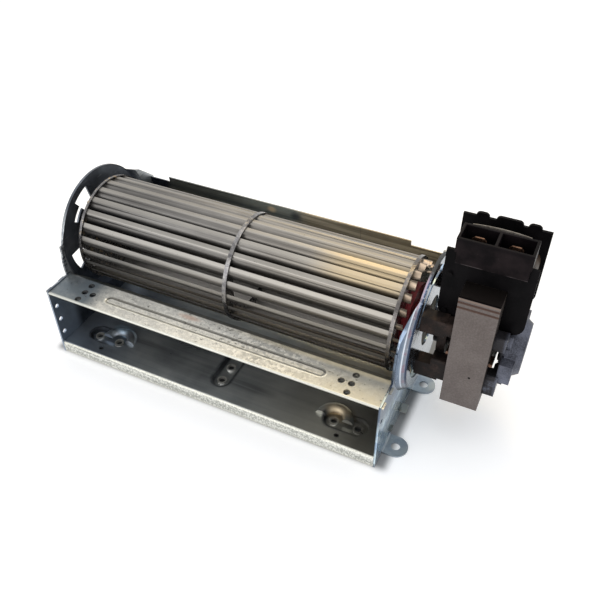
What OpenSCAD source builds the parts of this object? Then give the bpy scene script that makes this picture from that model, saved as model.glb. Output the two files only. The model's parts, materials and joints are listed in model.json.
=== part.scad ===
// Blower fan of a refrigerator: a crossflow impeller in a pressed-steel scroll housing,
// turned directly by a shaded-pole motor that is carried by the right side plate.
// X runs along the impeller's axis towards the motor, Y points to the back, Z points up.
// The origin is the centre of the four mounting-ear holes, on the underside of the ears.

/* [Impeller] */
// Outer diameter of the three impeller discs
disc_d = 60; // [50:0.5:62]
// Sheet thickness of the discs
disc_t = 0.8; // [0.6:0.1:1.5]
// Length over the two end discs
impeller_length = 180; // [140:1:240]
// Offset of the middle disc from the impeller's middle
middle_shift = 1; // [-5:0.5:5]
// Number of blades
blade_count = 27; // [18:1:30]
// Thickness of the blade strip
blade_t = 0.5; // [0.4:0.05:0.8]
// Radial depth of the blades
blade_depth = 5; // [4:0.1:6]
// Rim of the discs that stays outside the blades
blade_rim = 0.8; // [0.6:0.1:2]
// Angle by which the inner edge of a blade trails its outer edge
blade_lag = 12; // [8:0.5:15]
// Bow of the blade strip over its chord
blade_bow = 1.2; // [0.8:0.1:1.8]
// Angle of the first blade from the Y axis
blade_start = 7.7; // [0:0.1:20]
// Length of the blade tabs outside the right disc
tab_right = 3.5; // [1:0.1:4]
// Length of the blade tabs outside the left disc
tab_left = 1.6; // [1:0.1:3]
// Step by which a tab is narrower than the blade, on each edge
tab_step = 0.9; // [0.3:0.1:1.2]
// Clearance round a blade in the slots of a disc
slot_gap = 0.06; // [0.03:0.01:0.15]
// Thickness of the rolled rims round the discs
rim_t = 0.65; // [0.4:0.05:0.7]
// Width of the left disc's rim
rim_left = 1.4; // [0.9:0.1:3]
// Width of the middle disc's rim
rim_middle = 2.2; // [0.9:0.1:4]
// Width of the right disc's rim
rim_right = 1.8; // [0.9:0.1:3]
// Inner diameter of the middle disc
middle_bore = 42; // [20:1:46]

/* [Hub and shafts] */
// Diameter of the motor shaft and of the left stub shaft
shaft_d = 5; // [4:0.1:6]
// Running clearance between a shaft and its bearing, on the radius
run_gap = 0.03; // [0.02:0.01:0.08]
// Diameter of the flanges of the rubber hub
hub_flange_d = 34; // [28:1:38]
// Diameter of the hub's sleeve
hub_sleeve_d = 17; // [14:0.5:22]
// Diameter of the right disc's hole, in which the hub sits
hub_seat_d = 24; // [23:0.5:26]
// Thickness of each hub flange
hub_flange_t = 3; // [2:0.1:4]
// Length of the hub's sleeve on each side of the disc
hub_reach = 8; // [5:0.5:8.5]
// Diameter of the stub shaft's flange
stub_flange_d = 16; // [12:0.5:24]
// Length of the stub shaft outside the left disc
stub_l = 13; // [12:0.5:16]

/* [Housing] */
// Gap between the left disc and the plane of the left side plate
left_gap = 4.2; // [4:0.1:6]
// Gap between the right disc and the plane of the right side plate
right_gap = 5.2; // [5:0.1:7]
// Sheet thickness of the side plates
plate_t = 1; // [0.8:0.1:1.5]
// Sheet thickness of the scroll plate and the tongue plate
sheet_t = 0.8; // [0.6:0.1:1.2]
// Inner radius of the scroll
scroll_r = 48; // [46:0.5:49]
// Position of the scroll's centre behind the impeller's axis
scroll_y = -2.2; // [-4:0.1:0]
// Height of the scroll's centre over the impeller's axis
scroll_z = 1; // [0:0.1:2]
// Height of the scroll's upper edge over the axis
scroll_top = 10.2; // [8:0.1:12]
// Depth of the step at both ends of the upper edge
edge_step = 3.3; // [1:0.1:5]
// Length of the step at the left end
edge_step_left = 14; // [5:0.5:25]
// Length of the step at the right end
edge_step_right = 20.5; // [5:0.5:30]
// Distance of the outlet's front from the axis
outlet_y = 55.4; // [52:0.1:60]
// Depth of the outlet's lower lip
lip_h = 7; // [6:0.1:9]
// Depth of the tongue plate's flat top
tongue_w = 18; // [16:0.1:19]
// Depth of the tongue plate's top face below the axis
tongue_drop = 10.1; // [9:0.1:11]
// Gap between the tongue's tip and the impeller
tongue_gap = 3.4; // [2.5:0.1:5]
// Angle of the tongue's tip below the axis, at the front
tongue_angle = 37; // [34:0.5:42]
// Length of the small return at the tongue's tip
tongue_return = 4; // [2:0.5:6]
// Depth of the folded hem along the front edges
hem_w = 4; // [2:0.5:6]
// Inner bend radius of the sheet parts
bend_r = 0.8; // [0.5:0.1:1.5]
// Gap between sheet edges and the plates that they meet
seat_gap = 0.06; // [0.03:0.01:0.2]

/* [Beads, pads and small holes] */
// Offset of the bead, the pads and the small holes from the housing's middle
mark_shift = 0.5; // [-1:0.1:1]
// Distance of the long bead's ends from the side plates
bead_margin = 31.2; // [26:0.1:40]
// Width of the long bead
bead_w = 4.6; // [3:0.1:6]
// Depth of the long bead
bead_h = 0.6; // [0.3:0.1:0.7]
// Distance of the small hole groups from the side plates
dot_margin = 17.3; // [12:0.1:20]
// Pitch of the small holes in a group
dot_pitch = 5.8; // [5:0.1:7]
// Diameter of the small holes
dot_d = 2.6; // [2:0.1:3.5]
// Distance of the outer pads' middle from the side plates
pad_margin = 20.9; // [19:0.1:30]
// Pitch of the two screw holes in a pad
pad_pitch = 13.4; // [12:0.1:15]
// Distance of the outer pads' holes from the outlet's front
pad_y = 14.6; // [13:0.1:17]
// Width of a pad
pad_w = 11.6; // [10:0.1:13]
// Depth of a pad below the floor
pad_h = 2.4; // [1:0.1:3]
// Diameter of the screw holes in the pads
pad_hole_d = 3.6; // [3:0.1:4.5]
// Radius of the raised crescent behind the inner screw hole
crescent_r = 7.4; // [6.5:0.1:8]
// Height of the raised crescent
crescent_h = 2.2; // [1.5:0.1:3]
// Angle by which the crescent's hollow ends before its outside
crescent_end = 7; // [5:1:12]
// Distance of the twisted tab from the outlet's front
twist_d = 36.5; // [30:0.5:40]
// Width of the twisted tab
twist_w = 5; // [4:0.5:6]

/* [Side plates] */
// Radius of the flat bottom of the drawn cup
cup_r = 34; // [32:0.5:36]
// Depth of the left cup
cup_left = 3; // [2:0.1:5]
// Depth of the right cup
cup_right = 4.3; // [3:0.1:5]
// Radial width of the cup's sloped wall
cup_flare = 3.2; // [2:0.1:4]
// Outer radius of the windows between the arms
window_r = 29.8; // [28:0.1:31]
// Angle of the first arm of the right plate
arm_angle = 168; // [150:1:180]
// Angle that an arm of the right plate takes up
arm_span = 40; // [30:1:60]
// Angle that a window of the left plate takes up
window_span = 26; // [20:1:30]
// Inner radius of the left plate's narrow slot
slot_r = 22.7; // [20:0.1:24]
// Width of the left plate's narrow slot
slot_w = 2.9; // [2:0.1:4]
// Outer radius of the left plate's middle
left_core_r = 13; // [11:0.5:20]
// Outer radius of the right plate's mounting ring
right_core_r = 26; // [25.5:0.1:27]
// Diameter of the right plate's middle hole
right_hole_d = 26; // [22:0.5:28]
// Width of a mounting ear
ear_w = 12.6; // [11:0.1:15]
// Distance of an ear's hole from the plate
ear_reach = 5.2; // [4.5:0.1:8]
// Diameter of the ear holes
ear_hole_d = 4.8; // [4:0.1:6]
// Distance between the two ear holes of a plate
ear_pitch = 46; // [40:0.5:50]
// Distance of the front ear's hole from the outlet's front
ear_front = 16; // [12:0.5:20]
// Outer diameter of the rubber grommet
grommet_d = 19; // [16:0.5:24]
// Diameter of the hole that holds the grommet
grommet_seat_d = 14; // [12:0.5:15]
// Outer diameter of the left bearing bush
bush_d = 9; // [8:0.5:11]

/* [Motor core and coil] */
// Width of the stator core
core_w = 50; // [48:0.5:56]
// Height of the core over the shaft
core_top = 40; // [39:0.5:46]
// Depth of the core below the shaft
core_low = 25; // [24:0.5:28]
// Thickness of the lamination stack
stack_t = 18; // [15:0.5:22]
// Width of the core's legs
leg_w = 12; // [11:0.5:14]
// Height of the coil window's floor over the shaft
window_floor = 16.5; // [16:0.1:17.5]
// Height of the bar that carries the coil
bar_h = 11.7; // [10:0.1:12]
// Diameter of the bore for the rotor
rotor_bore = 27; // [24:0.5:28]
// Air gap between rotor and stator
air_gap = 0.35; // [0.3:0.05:0.5]
// Angle of the front shading ring
ring_angle = 174; // [172:1:176]
// Distance from the right side plate to the core
motor_gap = 15.5; // [15:0.1:20]
// Width of the bobbin's flanges
flange_w = 39.3; // [38.5:0.1:42]
// Thickness of the bobbin's flanges
flange_t = 1.5; // [1.2:0.1:2]
// Height of the front flange over the core
flange_rise = 14.5; // [12:0.1:16]
// Extra height of the rear flange
rear_rise = 3.2; // [1:0.1:5]
// Wall of the bobbin's tube
tube_t = 1.1; // [0.8:0.1:1.4]
// Thickness of the winding
winding_t = 7.4; // [5:0.1:7.6]
// Clearance of the coil parts
coil_gap = 0.1; // [0.05:0.01:0.2]

/* [Terminals] */
// Width of the terminal housing
housing_w = 32.4; // [30:0.1:36]
// Depth of the terminal housing
housing_d = 12.6; // [11:0.1:13]
// Height of the housing's top over the core
housing_top = 22; // [20:0.1:26]
// Depth of the terminal cavities
cavity_h = 7.4; // [6:0.1:9]
// Wall of the terminal housing
housing_t = 1.3; // [1:0.1:1.8]
// Width of a spade terminal
spade_w = 6.3; // [4.8:0.1:6.3]
// Thickness of a spade terminal
spade_t = 0.8; // [0.5:0.1:1]
// Height of the card behind the housing
card_h = 13; // [8:0.5:14]
// Bend radius of the card
card_r = 60; // [40:1:80]
// Angle that the card's curve takes up
card_span = 24; // [16:1:26]

/* [Motor brackets] */
// Distance of the bracket's legs and screws from the shaft, front to back
bolt_y = 17.2; // [17:0.1:17.6]
// Height of the upper bracket screws over the shaft
bolt_top = 15.4; // [15:0.1:16]
// Depth of the lower bracket screws below the shaft
bolt_low = 10.8; // [10.6:0.1:12]
// Width of the brackets' feet and legs
foot_w = 7.6; // [7:0.1:7.6]
// Height of the upper feet
foot_top_h = 7.8; // [7:0.1:8]
// Height of the lower feet
foot_low_h = 12.6; // [9:0.1:13]
// Thickness of the outer bracket's feet
foot_out = 5.5; // [5:0.1:6]
// Height of the upper legs over the shaft
leg_top = 15; // [14:0.1:15.4]
// Depth of the lower legs below the shaft
leg_low = 13; // [12:0.1:14]
// Height of a leg's section
leg_h = 9; // [7:0.1:9.5]
// Distance of the inner bracket's arms from the core
bracket_gap = 8; // [7.5:0.1:8.5]
// Thickness of the inner bracket's arms
arm_t = 4.2; // [3.5:0.1:5]
// Distance of the bearings' middle from the core
ball_out = 7; // [6.8:0.1:7.4]
// Diameter of the bracket screws
bolt_d = 3.5; // [3:0.1:3.6]
// Clearance of a screw in its hole, on the radius
bolt_gap = 0.15; // [0.1:0.05:0.4]
// Radius of the bearing boss of the inner bracket
boss_r = 9; // [8.5:0.1:9.4]
// Radius of the outer bracket's cup
bell_r = 14.3; // [14:0.1:14.8]
// Depth of the outer bracket's cup
bell_h = 13.4; // [13:0.1:15]
// Depth of the bell's hollow round the bearing boss
bell_in = 9.4; // [9:0.1:9.8]
// Width of the bell's slanted edge
bell_edge = 3; // [2:0.1:4]
// Diameter of the self-aligning bearings
ball_d = 12; // [10:0.5:13]
// Height of a bracket screw's head
head_h = 2.8; // [2:0.1:3]
// Diameter of a bracket screw's head
head_d = 5.8; // [5:0.1:5.8]
// Thread engagement of a bracket screw in the inner bracket
grip_l = 6.5; // [5:0.1:7]
// Diameter of the short screws that hold the bracket's legs
leg_bolt_d = 3.5; // [3:0.1:4]
// Diameter of a short screw's head
leg_head_d = 5.8; // [5:0.1:6]

/* [Hidden] */
$fn = 64;
over = 1;
// housing
base_z = -(scroll_r - scroll_z) - lip_h;
floor_z = scroll_z - scroll_r;
row_y = outlet_y - ear_front - ear_pitch / 2;
duct_w = impeller_length + left_gap + right_gap;
wall_x = duct_w / 2;
bead_l = duct_w - 2 * bead_margin;
dot_x = wall_x - dot_margin;
pad_x = wall_x - pad_margin;
sheet_l = duct_w - 2 * seat_gap;
edge_z = scroll_top - edge_step;
tongue_back = tongue_w - outlet_y;
tip_r = disc_d / 2 + tongue_gap;
tip = [-tip_r * cos(tongue_angle), -tip_r * sin(tongue_angle)];
left_x = -wall_x - cup_left;
right_x = wall_x + cup_right;
lock_out = plate_t + 1.1;
lock_w = 4;
// impeller
disc_x = [
    left_gap - wall_x,
    left_gap - wall_x + impeller_length / 2 + middle_shift - disc_t / 2,
    wall_x - right_gap - disc_t
];
blade_ro = disc_d / 2 - blade_rim;
blade_ri = blade_ro - blade_depth;
blade_a = [blade_ro, 0];
blade_b = [blade_ri * cos(blade_lag), blade_ri * sin(blade_lag)];
blade_chord = norm(blade_b - blade_a);
blade_dir = (blade_b - blade_a) / blade_chord;
blade_out = [blade_dir[1], -blade_dir[0]];
blade_arc = blade_chord * blade_chord / (8 * blade_bow) + blade_bow / 2;
blade_mid = (blade_a + blade_b) / 2;
blade_centre = blade_mid - (blade_arc - blade_bow) * blade_out;
shaft_r = shaft_d / 2;
// motor
core_x = right_x + plate_t + motor_gap;
core_end = core_x + stack_t;
coil_y = core_w / 2 - leg_w;
bar_low = core_top - bar_h;
flange_x = core_x + stack_t / 2;
tube_r = tube_t + coil_gap;
winding_top = core_top + tube_r + winding_t;
flange_low = window_floor + 0.5;
housing_z = core_top + housing_top;
housing_front = -coil_y - housing_t - 0.3;
housing_back = housing_front + housing_d;
cavity_z = housing_z - cavity_h;
spade_y = (housing_front + housing_back) / 2;
spade_x = housing_w / 4 - housing_t / 4;
ball_x = [core_x - ball_out, core_end + ball_out];
plate_face = right_x + plate_t;
bracket_x = core_x - bracket_gap;
hub_x = disc_x[2];
BOLTS = [[-bolt_y, -bolt_low], [bolt_y, -bolt_low], [-bolt_y, bolt_top], [bolt_y, bolt_top]];
LEGS = [[-bolt_y, -leg_low], [bolt_y, -leg_low], [-bolt_y, leg_top], [bolt_y, leg_top]];

// Moves from the impeller's axis to the part's origin
module row() {
    translate([0, row_y, -base_z])
        children();
}

// Extrudes a section of the Y-Z plane along X
module along_x(x0, x1) {
    translate([x0, 0, 0])
        rotate([90, 0, 90])
            linear_extrude(x1 - x0)
                children();
}

// Extrudes a section of the X-Z plane along Y
module along_y(y0, y1) {
    translate([0, y1, 0])
        rotate([90, 0, 0])
            linear_extrude(y1 - y0)
                children();
}

// Round bar about an axis along X
module rod(x0, x1, r) {
    translate([x0, 0, 0])
        rotate([0, 90, 0])
            cylinder(h = x1 - x0, r = r);
}

// Straight run of sheet in a section, with round ends
module strip(p, q, t) {
    d = q - p;
    translate(p)
        rotate(atan2(d[1], d[0]))
            translate([0, -t / 2])
                square([norm(d), t]);
    translate(p)
        circle(d = t);
    translate(q)
        circle(d = t);
}

// Flat shape with two parallel sides and round ends
module slot2d(l, w) {
    square([l - w, w], center = true);
    for (s = [-1, 1])
        translate([s * (l - w) / 2, 0])
            circle(d = w);
}

// Ring sector between two radii and two angles
module sector(r0, r1, a0, a1) {
    far = 1.5 * r1;
    am = (a0 + a1) / 2;
    intersection() {
        difference() {
            circle(r1);
            circle(r0);
        }
        polygon([[0, 0], far * [cos(a0), sin(a0)], far * [cos(am), sin(am)], far * [cos(a1), sin(a1)]]);
    }
}

// Section of one blade strip, cut at two radii
module blade_section(t, ri, ro) {
    cut = t + 0.5;
    intersection() {
        difference() {
            translate(blade_centre)
                circle(blade_arc + t / 2);
            translate(blade_centre)
                circle(blade_arc - t / 2);
        }
        difference() {
            circle(ro);
            circle(ri);
        }
        translate(blade_mid - cut * blade_out)
            rotate(atan2(blade_dir[1], blade_dir[0]))
                translate([-blade_chord, -blade_bow - 2 * cut])
                    square([2 * blade_chord, blade_bow + 2 * cut]);
    }
}

// One blade: full depth between the end discs, narrower tabs outside them
module blade(i) {
    x0 = disc_x[0] + disc_t + slot_gap;
    x1 = disc_x[2] - slot_gap;
    color([0.74, 0.72, 0.68])
        row()
            rotate([blade_start + (i - 1) * 360 / blade_count, 0, 0]) {
                along_x(x0, x1)
                    blade_section(blade_t, blade_ri, blade_ro);
                along_x(disc_x[0] - tab_left, disc_x[2] + disc_t + tab_right)
                    blade_section(blade_t, blade_ri + tab_step, blade_ro - tab_step);
            }
}

// Slots of a disc, one for each blade
module blade_slots(x, step) {
    for (i = [0:blade_count - 1])
        rotate([blade_start + i * 360 / blade_count, 0, 0])
            along_x(x - over, x + disc_t + over)
                blade_section(blade_t + 2 * slot_gap, blade_ri + step - slot_gap, blade_ro - step + slot_gap);
}

// Rolled rim of a disc, just outside the blades
module rim(x0, x1) {
    difference() {
        rod(x0, x1, disc_d / 2);
        rod(x0 - over, x1 + over, disc_d / 2 - rim_t);
    }
}

module left_disc() {
    color([0.62, 0.63, 0.66])
        row() {
            rim(disc_x[0], disc_x[0] + rim_left);
            difference() {
                rod(disc_x[0], disc_x[0] + disc_t, disc_d / 2);
                rod(disc_x[0] - over, disc_x[0] + disc_t + over, shaft_r + 0.5 + slot_gap);
                blade_slots(disc_x[0], tab_step);
            }
        }
}

module middle_disc() {
    rim_x = disc_x[1] + disc_t / 2 - rim_middle / 2;
    color([0.68, 0.68, 0.7])
        row() {
            rim(rim_x, rim_x + rim_middle);
            difference() {
                rod(disc_x[1], disc_x[1] + disc_t, disc_d / 2);
                rod(disc_x[1] - over, disc_x[1] + disc_t + over, middle_bore / 2);
                blade_slots(disc_x[1], 0);
            }
        }
}

module right_disc() {
    color([0.66, 0.64, 0.62])
        row() {
            rim(disc_x[2] + disc_t - rim_right, disc_x[2] + disc_t);
            difference() {
                rod(disc_x[2], disc_x[2] + disc_t, disc_d / 2);
                rod(disc_x[2] - over, disc_x[2] + disc_t + over, hub_seat_d / 2);
                blade_slots(disc_x[2], tab_step);
            }
        }
}

// Steel pin with a flange, riveted into the left disc
module stub_shaft() {
    x = disc_x[0];
    color([0.7, 0.7, 0.72])
        row()
            difference() {
                union() {
                    rod(x - stub_l + 0.6, x - 1, shaft_r);
                    translate([x - stub_l, 0, 0])
                        rotate([0, 90, 0])
                            cylinder(h = 0.6, r1 = shaft_r - 0.6, r2 = shaft_r);
                    rod(x - 1.6, x - slot_gap, stub_flange_d / 2);
                    rod(x - slot_gap - 0.1, x + disc_t + slot_gap + 0.1, shaft_r + 0.5);
                    rod(x + disc_t + slot_gap, x + disc_t + 1.4, shaft_r + 2);
                }
                rod(x + disc_t + 0.7, x + disc_t + 2, 1);
            }
}

// Rubber hub with a groove for the disc and a bore for the shaft
module rubber_hub() {
    x0 = hub_x - slot_gap;
    x1 = hub_x + disc_t + slot_gap;
    color([0.36, 0.03, 0.04])
        row()
            difference() {
                union() {
                    rod(x0 - hub_flange_t, x0, hub_flange_d / 2);
                    rod(x0 - 0.1, x1 + 0.1, hub_seat_d / 2 - slot_gap);
                    rod(x1, x1 + hub_flange_t, hub_flange_d / 2);
                    rod(x0 - hub_reach, x1 + hub_reach, hub_sleeve_d / 2);
                }
                rod(x0 - hub_reach - over, x1 + hub_reach + over, shaft_r + seat_gap / 2);
            }
}

module motor_shaft() {
    end = core_end + bell_h - 2;
    start = hub_x - hub_reach + 1;
    color([0.78, 0.78, 0.8])
        row() {
            rod(start + 0.5, end - 0.5, shaft_r);
            translate([start, 0, 0])
                rotate([0, 90, 0])
                    cylinder(h = 0.5, r1 = shaft_r - 0.5, r2 = shaft_r);
            translate([end - 0.5, 0, 0])
                rotate([0, 90, 0])
                    cylinder(h = 0.5, r1 = shaft_r, r2 = shaft_r - 0.5);
        }
}

// Rotor: laminated body with cast end rings and short fan studs
module rotor() {
    r = rotor_bore / 2 - air_gap;
    color([0.6, 0.6, 0.6])
        row()
            difference() {
                union() {
                    rod(core_x + 0.5, core_end - 0.5, r);
                    rod(core_x - 0.8, core_end + 0.8, r - 1.2);
                }
                rod(core_x - 2, core_end + 2, shaft_r + seat_gap / 2);
                rod(core_x - 2, core_x + 0.5, r - 4.5);
                rod(core_end - 0.5, core_end + 2, r - 4.5);
            }
}

// Spacer washers between rotor and bearings
module shaft_washers() {
    color([0.85, 0.83, 0.75])
        row()
            difference() {
                union() {
                    rod(ball_x[0] + ball_d / 2 - 1 + 0.2, core_x + 0.5 - seat_gap, shaft_r + 2);
                    rod(core_end - 0.5 + seat_gap, ball_x[1] - ball_d / 2 + 1 - 0.2, shaft_r + 2);
                }
                rod(core_x - 20, core_end + 20, shaft_r + seat_gap / 2);
            }
}

// Outline of a side plate in the Y-Z plane
module side_outline() {
    back_r = scroll_r + sheet_t + 1.7;
    circle(cup_r + 0.5);
    translate([-4, -4])
        circle(cup_r + 1.7);
    intersection() {
        translate([scroll_y, scroll_z])
            circle(back_r);
        translate([-10, base_z])
            square([2 * back_r, edge_z - base_z]);
    }
    polygon([
        [0, 0],
        [cup_r * cos(40), cup_r * sin(40)],
        [cup_r + 2, cup_r / 2],
        [scroll_r - 4, edge_z + 3.2],
        [scroll_r + scroll_y + sheet_t + 1, edge_z],
        [scroll_r - 4, 0]
    ]);
    polygon([
        [-outlet_y, 0.6 - tongue_drop],
        [-outlet_y, base_z],
        [13, base_z],
        [back_r * cos(50), -back_r * sin(50)],
        [0, 0],
        [-cup_r - 4.6, 9],
        [-cup_r - 5.4, 0.6 - tongue_drop]
    ]);
}

// Dished sheet of a side plate: drawn cup in the middle, flat outside
module cup_shell(depth) {
    far = 3 * cup_r;
    shift = plate_t * tan(atan2(depth, cup_flare) / 2);
    rotate([0, 90, 0])
        rotate_extrude()
            polygon([
                [0, depth],
                [cup_r, depth],
                [cup_r + cup_flare, 0],
                [far, 0],
                [far, plate_t],
                [cup_r + cup_flare + shift, plate_t],
                [cup_r + shift, depth + plate_t],
                [0, depth + plate_t]
            ]);
}

// Narrow windows of the right plate, between the three arms that hold the motor's ring
module right_windows() {
    for (k = [0:2]) {
        a0 = arm_angle + arm_span / 2 + 120 * k;
        a1 = arm_angle - arm_span / 2 + 120 * (k + 1);
        sector(right_core_r, window_r, a0, a1);
    }
}

// Four windows of the left plate and a narrow slot that starts from one of them
module left_windows() {
    for (a = [20, 200, 290])
        sector(left_core_r, window_r, a - window_span / 2, a + window_span / 2);
    sector(left_core_r, window_r, 104, 127);
    sector(slot_r, slot_r + slot_w, 126.5, 148);
}

// Slot through a side plate for a lock tab that lies flat
module lock_slot(y, z, w) {
    along_x(-over, plate_t + over)
        translate([y, z])
            square([w + 4 * seat_gap, sheet_t + 4 * seat_gap], center = true);
}

// Mounting ear bent outwards from the bottom edge
module ear(y) {
    bend = bend_r + plate_t;
    difference() {
        intersection() {
            along_y(y - ear_w / 2, y + ear_w / 2) {
                translate([0, base_z + bend])
                    square([plate_t, 2]);
                translate([bend, base_z])
                    square([ear_reach + ear_w, plate_t]);
                intersection() {
                    translate([bend, base_z + bend])
                        difference() {
                            circle(bend);
                            circle(bend_r);
                        }
                    translate([0, base_z])
                        square(bend);
                }
            }
            translate([0, 0, base_z - over])
                linear_extrude(lip_h + 2)
                    union() {
                        translate([-over, y - ear_w / 2])
                            square([over + plate_t + ear_reach, ear_w]);
                        translate([plate_t + ear_reach, y])
                            circle(d = ear_w);
                    }
        }
        translate([plate_t + ear_reach, y, base_z - over])
            cylinder(h = plate_t + 2 * over, d = ear_hole_d);
    }
}

// Side plate with its inner face at X = 0 and its outside towards +X
module side_plate(depth) {
    ear_ys = [ear_front - outlet_y, ear_front - outlet_y + ear_pitch];
    difference() {
        intersection() {
            cup_shell(depth);
            along_x(-over, depth + plate_t + over)
                side_outline();
        }
        along_x(-over, depth + plate_t + over)
            children();
        for (y = ear_ys)
            translate([-over, y - ear_w / 2 - 0.6, base_z - over])
                cube([plate_t + 2 * over, ear_w + 1.2, over + plate_t + bend_r]);
        for (y = lock_tongue())
            lock_slot(y, -tongue_drop - sheet_t / 2, lock_w);
        for (y = lock_floor())
            lock_slot(y, floor_z - sheet_t / 2, lock_w);
        lock_slot(twist_y(), floor_z - sheet_t / 2, twist_w);
        for (k = [0:2])
            along_x(-over, plate_t + over)
                translate([3.2 - outlet_y, -tongue_drop - 12 - 9.4 * k])
                    circle(d = dot_d);
    }
    for (y = ear_ys)
        ear(y);
}

function lock_tongue() = [2.6 - outlet_y, 12.6 - outlet_y];
function lock_floor() = [21.4 - outlet_y];
function twist_y() = twist_d - outlet_y;

module left_side_plate() {
    color([0.22, 0.25, 0.31])
        row()
            translate([-wall_x, 0, 0])
                mirror([1, 0, 0])
                    difference() {
                        side_plate(cup_left)
                            left_windows();
                        rod(cup_left - over, cup_left + plate_t + over, grommet_seat_d / 2);
                    }
}

module right_side_plate() {
    color([0.44, 0.52, 0.62])
        row()
            translate([wall_x, 0, 0])
                difference() {
                    side_plate(cup_right)
                        right_windows();
                    rod(cup_right - over, cup_right + plate_t + over, right_hole_d / 2);
                    for (p = LEGS)
                        translate([0, p[0], p[1]])
                            rod(cup_right - over, cup_right + plate_t + over, leg_bolt_d / 2 + bolt_gap);
                }
}

// Flat tab at both ends of a sheet, through the side plates
module lock_tabs(y, z) {
    for (s = [-1, 1])
        translate([s * (wall_x + lock_out / 2 - 0.5), y, z - sheet_t / 2])
            cube([lock_out + 1, lock_w, sheet_t], center = true);
}

// Section of the scroll plate up to a given height
module scroll_section(top) {
    bend = bend_r + sheet_t;
    intersection() {
        translate([scroll_y, scroll_z])
            difference() {
                circle(scroll_r + sheet_t);
                circle(scroll_r);
            }
        translate([scroll_y, floor_z - over])
            square([2 * scroll_r, top - floor_z + over]);
    }
    translate([bend - outlet_y, floor_z - sheet_t])
        square([outlet_y - bend + scroll_y, sheet_t]);
    intersection() {
        translate([bend - outlet_y, floor_z - bend])
            difference() {
                circle(bend);
                circle(bend_r);
            }
        translate([-outlet_y, floor_z - bend])
            square(bend);
    }
    translate([-outlet_y, base_z + sheet_t])
        square([sheet_t, floor_z - bend - base_z - sheet_t]);
    translate([sheet_t - outlet_y, base_z + sheet_t])
        circle(sheet_t);
    translate([sheet_t - outlet_y, base_z + sheet_t])
        square([sheet_t, hem_w]);
}

// Pad sunk into the floor: pocket shape, larger by a wall
module pad_shape(l, grow) {
    slot2d(l + 2 * grow, pad_w + 2 * grow);
}

// Placement of the three pads: [x, y, angle, length]
PADS = [
    [mark_shift - pad_x, pad_y - outlet_y, 0, pad_pitch + pad_w],
    [mark_shift + pad_x, pad_y - outlet_y, 0, pad_pitch + pad_w],
    [mark_shift + 1, pad_y + 7.6 - outlet_y, 90, pad_pitch + pad_w + 3]
];

// Screw holes of the pads: [x, y]
PAD_HOLES = [
    [mark_shift - pad_x - pad_pitch / 2, pad_y - outlet_y],
    [mark_shift - pad_x + pad_pitch / 2, pad_y - outlet_y],
    [mark_shift + pad_x - pad_pitch / 2, pad_y - outlet_y],
    [mark_shift + pad_x + pad_pitch / 2, pad_y - outlet_y],
    [mark_shift + 1, pad_y - outlet_y],
    [mark_shift + 1, pad_y + 10.2 - outlet_y]
];

// Raised half ring behind a screw hole
module crescent(x, r, end) {
    translate([x, pad_y - outlet_y, floor_z - sheet_t])
        rotate([0, 0, end])
            rotate_extrude(angle = 180 - 2 * end)
                translate([crescent_r, 0])
                    circle(r);
}

module scroll_plate() {
    bore_z = floor_z - sheet_t - pad_h;
    inner_x = pad_x - pad_pitch / 2;
    clip_z = floor_z - sheet_t / 2;
    color([0.36, 0.37, 0.36])
        row()
            difference() {
                union() {
                    difference() {
                        union() {
                            along_x(-sheet_l / 2, sheet_l / 2)
                                scroll_section(edge_z);
                            along_x(edge_step_left - wall_x, wall_x - edge_step_right)
                                scroll_section(scroll_top);
                        }
                        for (p = PADS)
                            translate([p[0], p[1], floor_z - sheet_t - over])
                                rotate(p[2])
                                    linear_extrude(sheet_t + 2 * over)
                                        pad_shape(p[3], 0);
                    }
                    for (p = PADS)
                        translate([p[0], p[1], bore_z])
                            rotate(p[2])
                                difference() {
                                    linear_extrude(pad_h + sheet_t)
                                        pad_shape(p[3], sheet_t / 2);
                                    translate([0, 0, sheet_t])
                                        linear_extrude(pad_h + over)
                                            pad_shape(p[3], -sheet_t / 2);
                                }
                    for (p = PAD_HOLES)
                        translate([p[0], p[1], bore_z])
                            cylinder(h = sheet_t + 1, d = pad_hole_d + 2 * sheet_t);
                    for (s = [-1, 1])
                        intersection() {
                            crescent(mark_shift + s * inner_x, crescent_h + sheet_t, 0);
                            translate([mark_shift + s * inner_x - 2 * crescent_r, -outlet_y, clip_z])
                                cube([4 * crescent_r, outlet_y, 2 * crescent_h]);
                        }
                    for (y = lock_floor())
                        lock_tabs(y, floor_z);
                    lock_tabs(twist_y(), floor_z);
                    for (s = [-1, 1])
                        translate([s * (wall_x + plate_t + 2.1), twist_y(), floor_z - sheet_t / 2])
                            rotate([s * 24, 0, 0])
                                cube([3.6, twist_w, sheet_t], center = true);
                }
                for (s = [-1, 1])
                    crescent(mark_shift + s * inner_x, crescent_h, crescent_end);
                for (p = PAD_HOLES)
                    translate([p[0], p[1], bore_z - over])
                        cylinder(h = sheet_t + 2 + over, d = pad_hole_d);
                for (s = [-1, 1])
                    translate([mark_shift + s * (pad_x - 1.4), 5.2 - outlet_y, floor_z - sheet_t - over])
                        cylinder(h = sheet_t + 2 * over, d = dot_d);
            }
}

// Section of the tongue plate: hem, flat top, sloped web and return
module tongue_section() {
    t = sheet_t;
    z = -tongue_drop - t / 2;
    back = [tongue_back, z];
    strip([t - outlet_y, z], back, t);
    strip(back, tip, t);
    strip(tip, tip + tongue_return * [-cos(20), -sin(20)], t);
    translate([t - outlet_y, z - t / 2])
        intersection() {
            circle(t);
            translate([-t, -t])
                square([t, 2 * t]);
        }
    translate([t - outlet_y, z - 1.5 * t])
        square([hem_w, t]);
}

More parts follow.
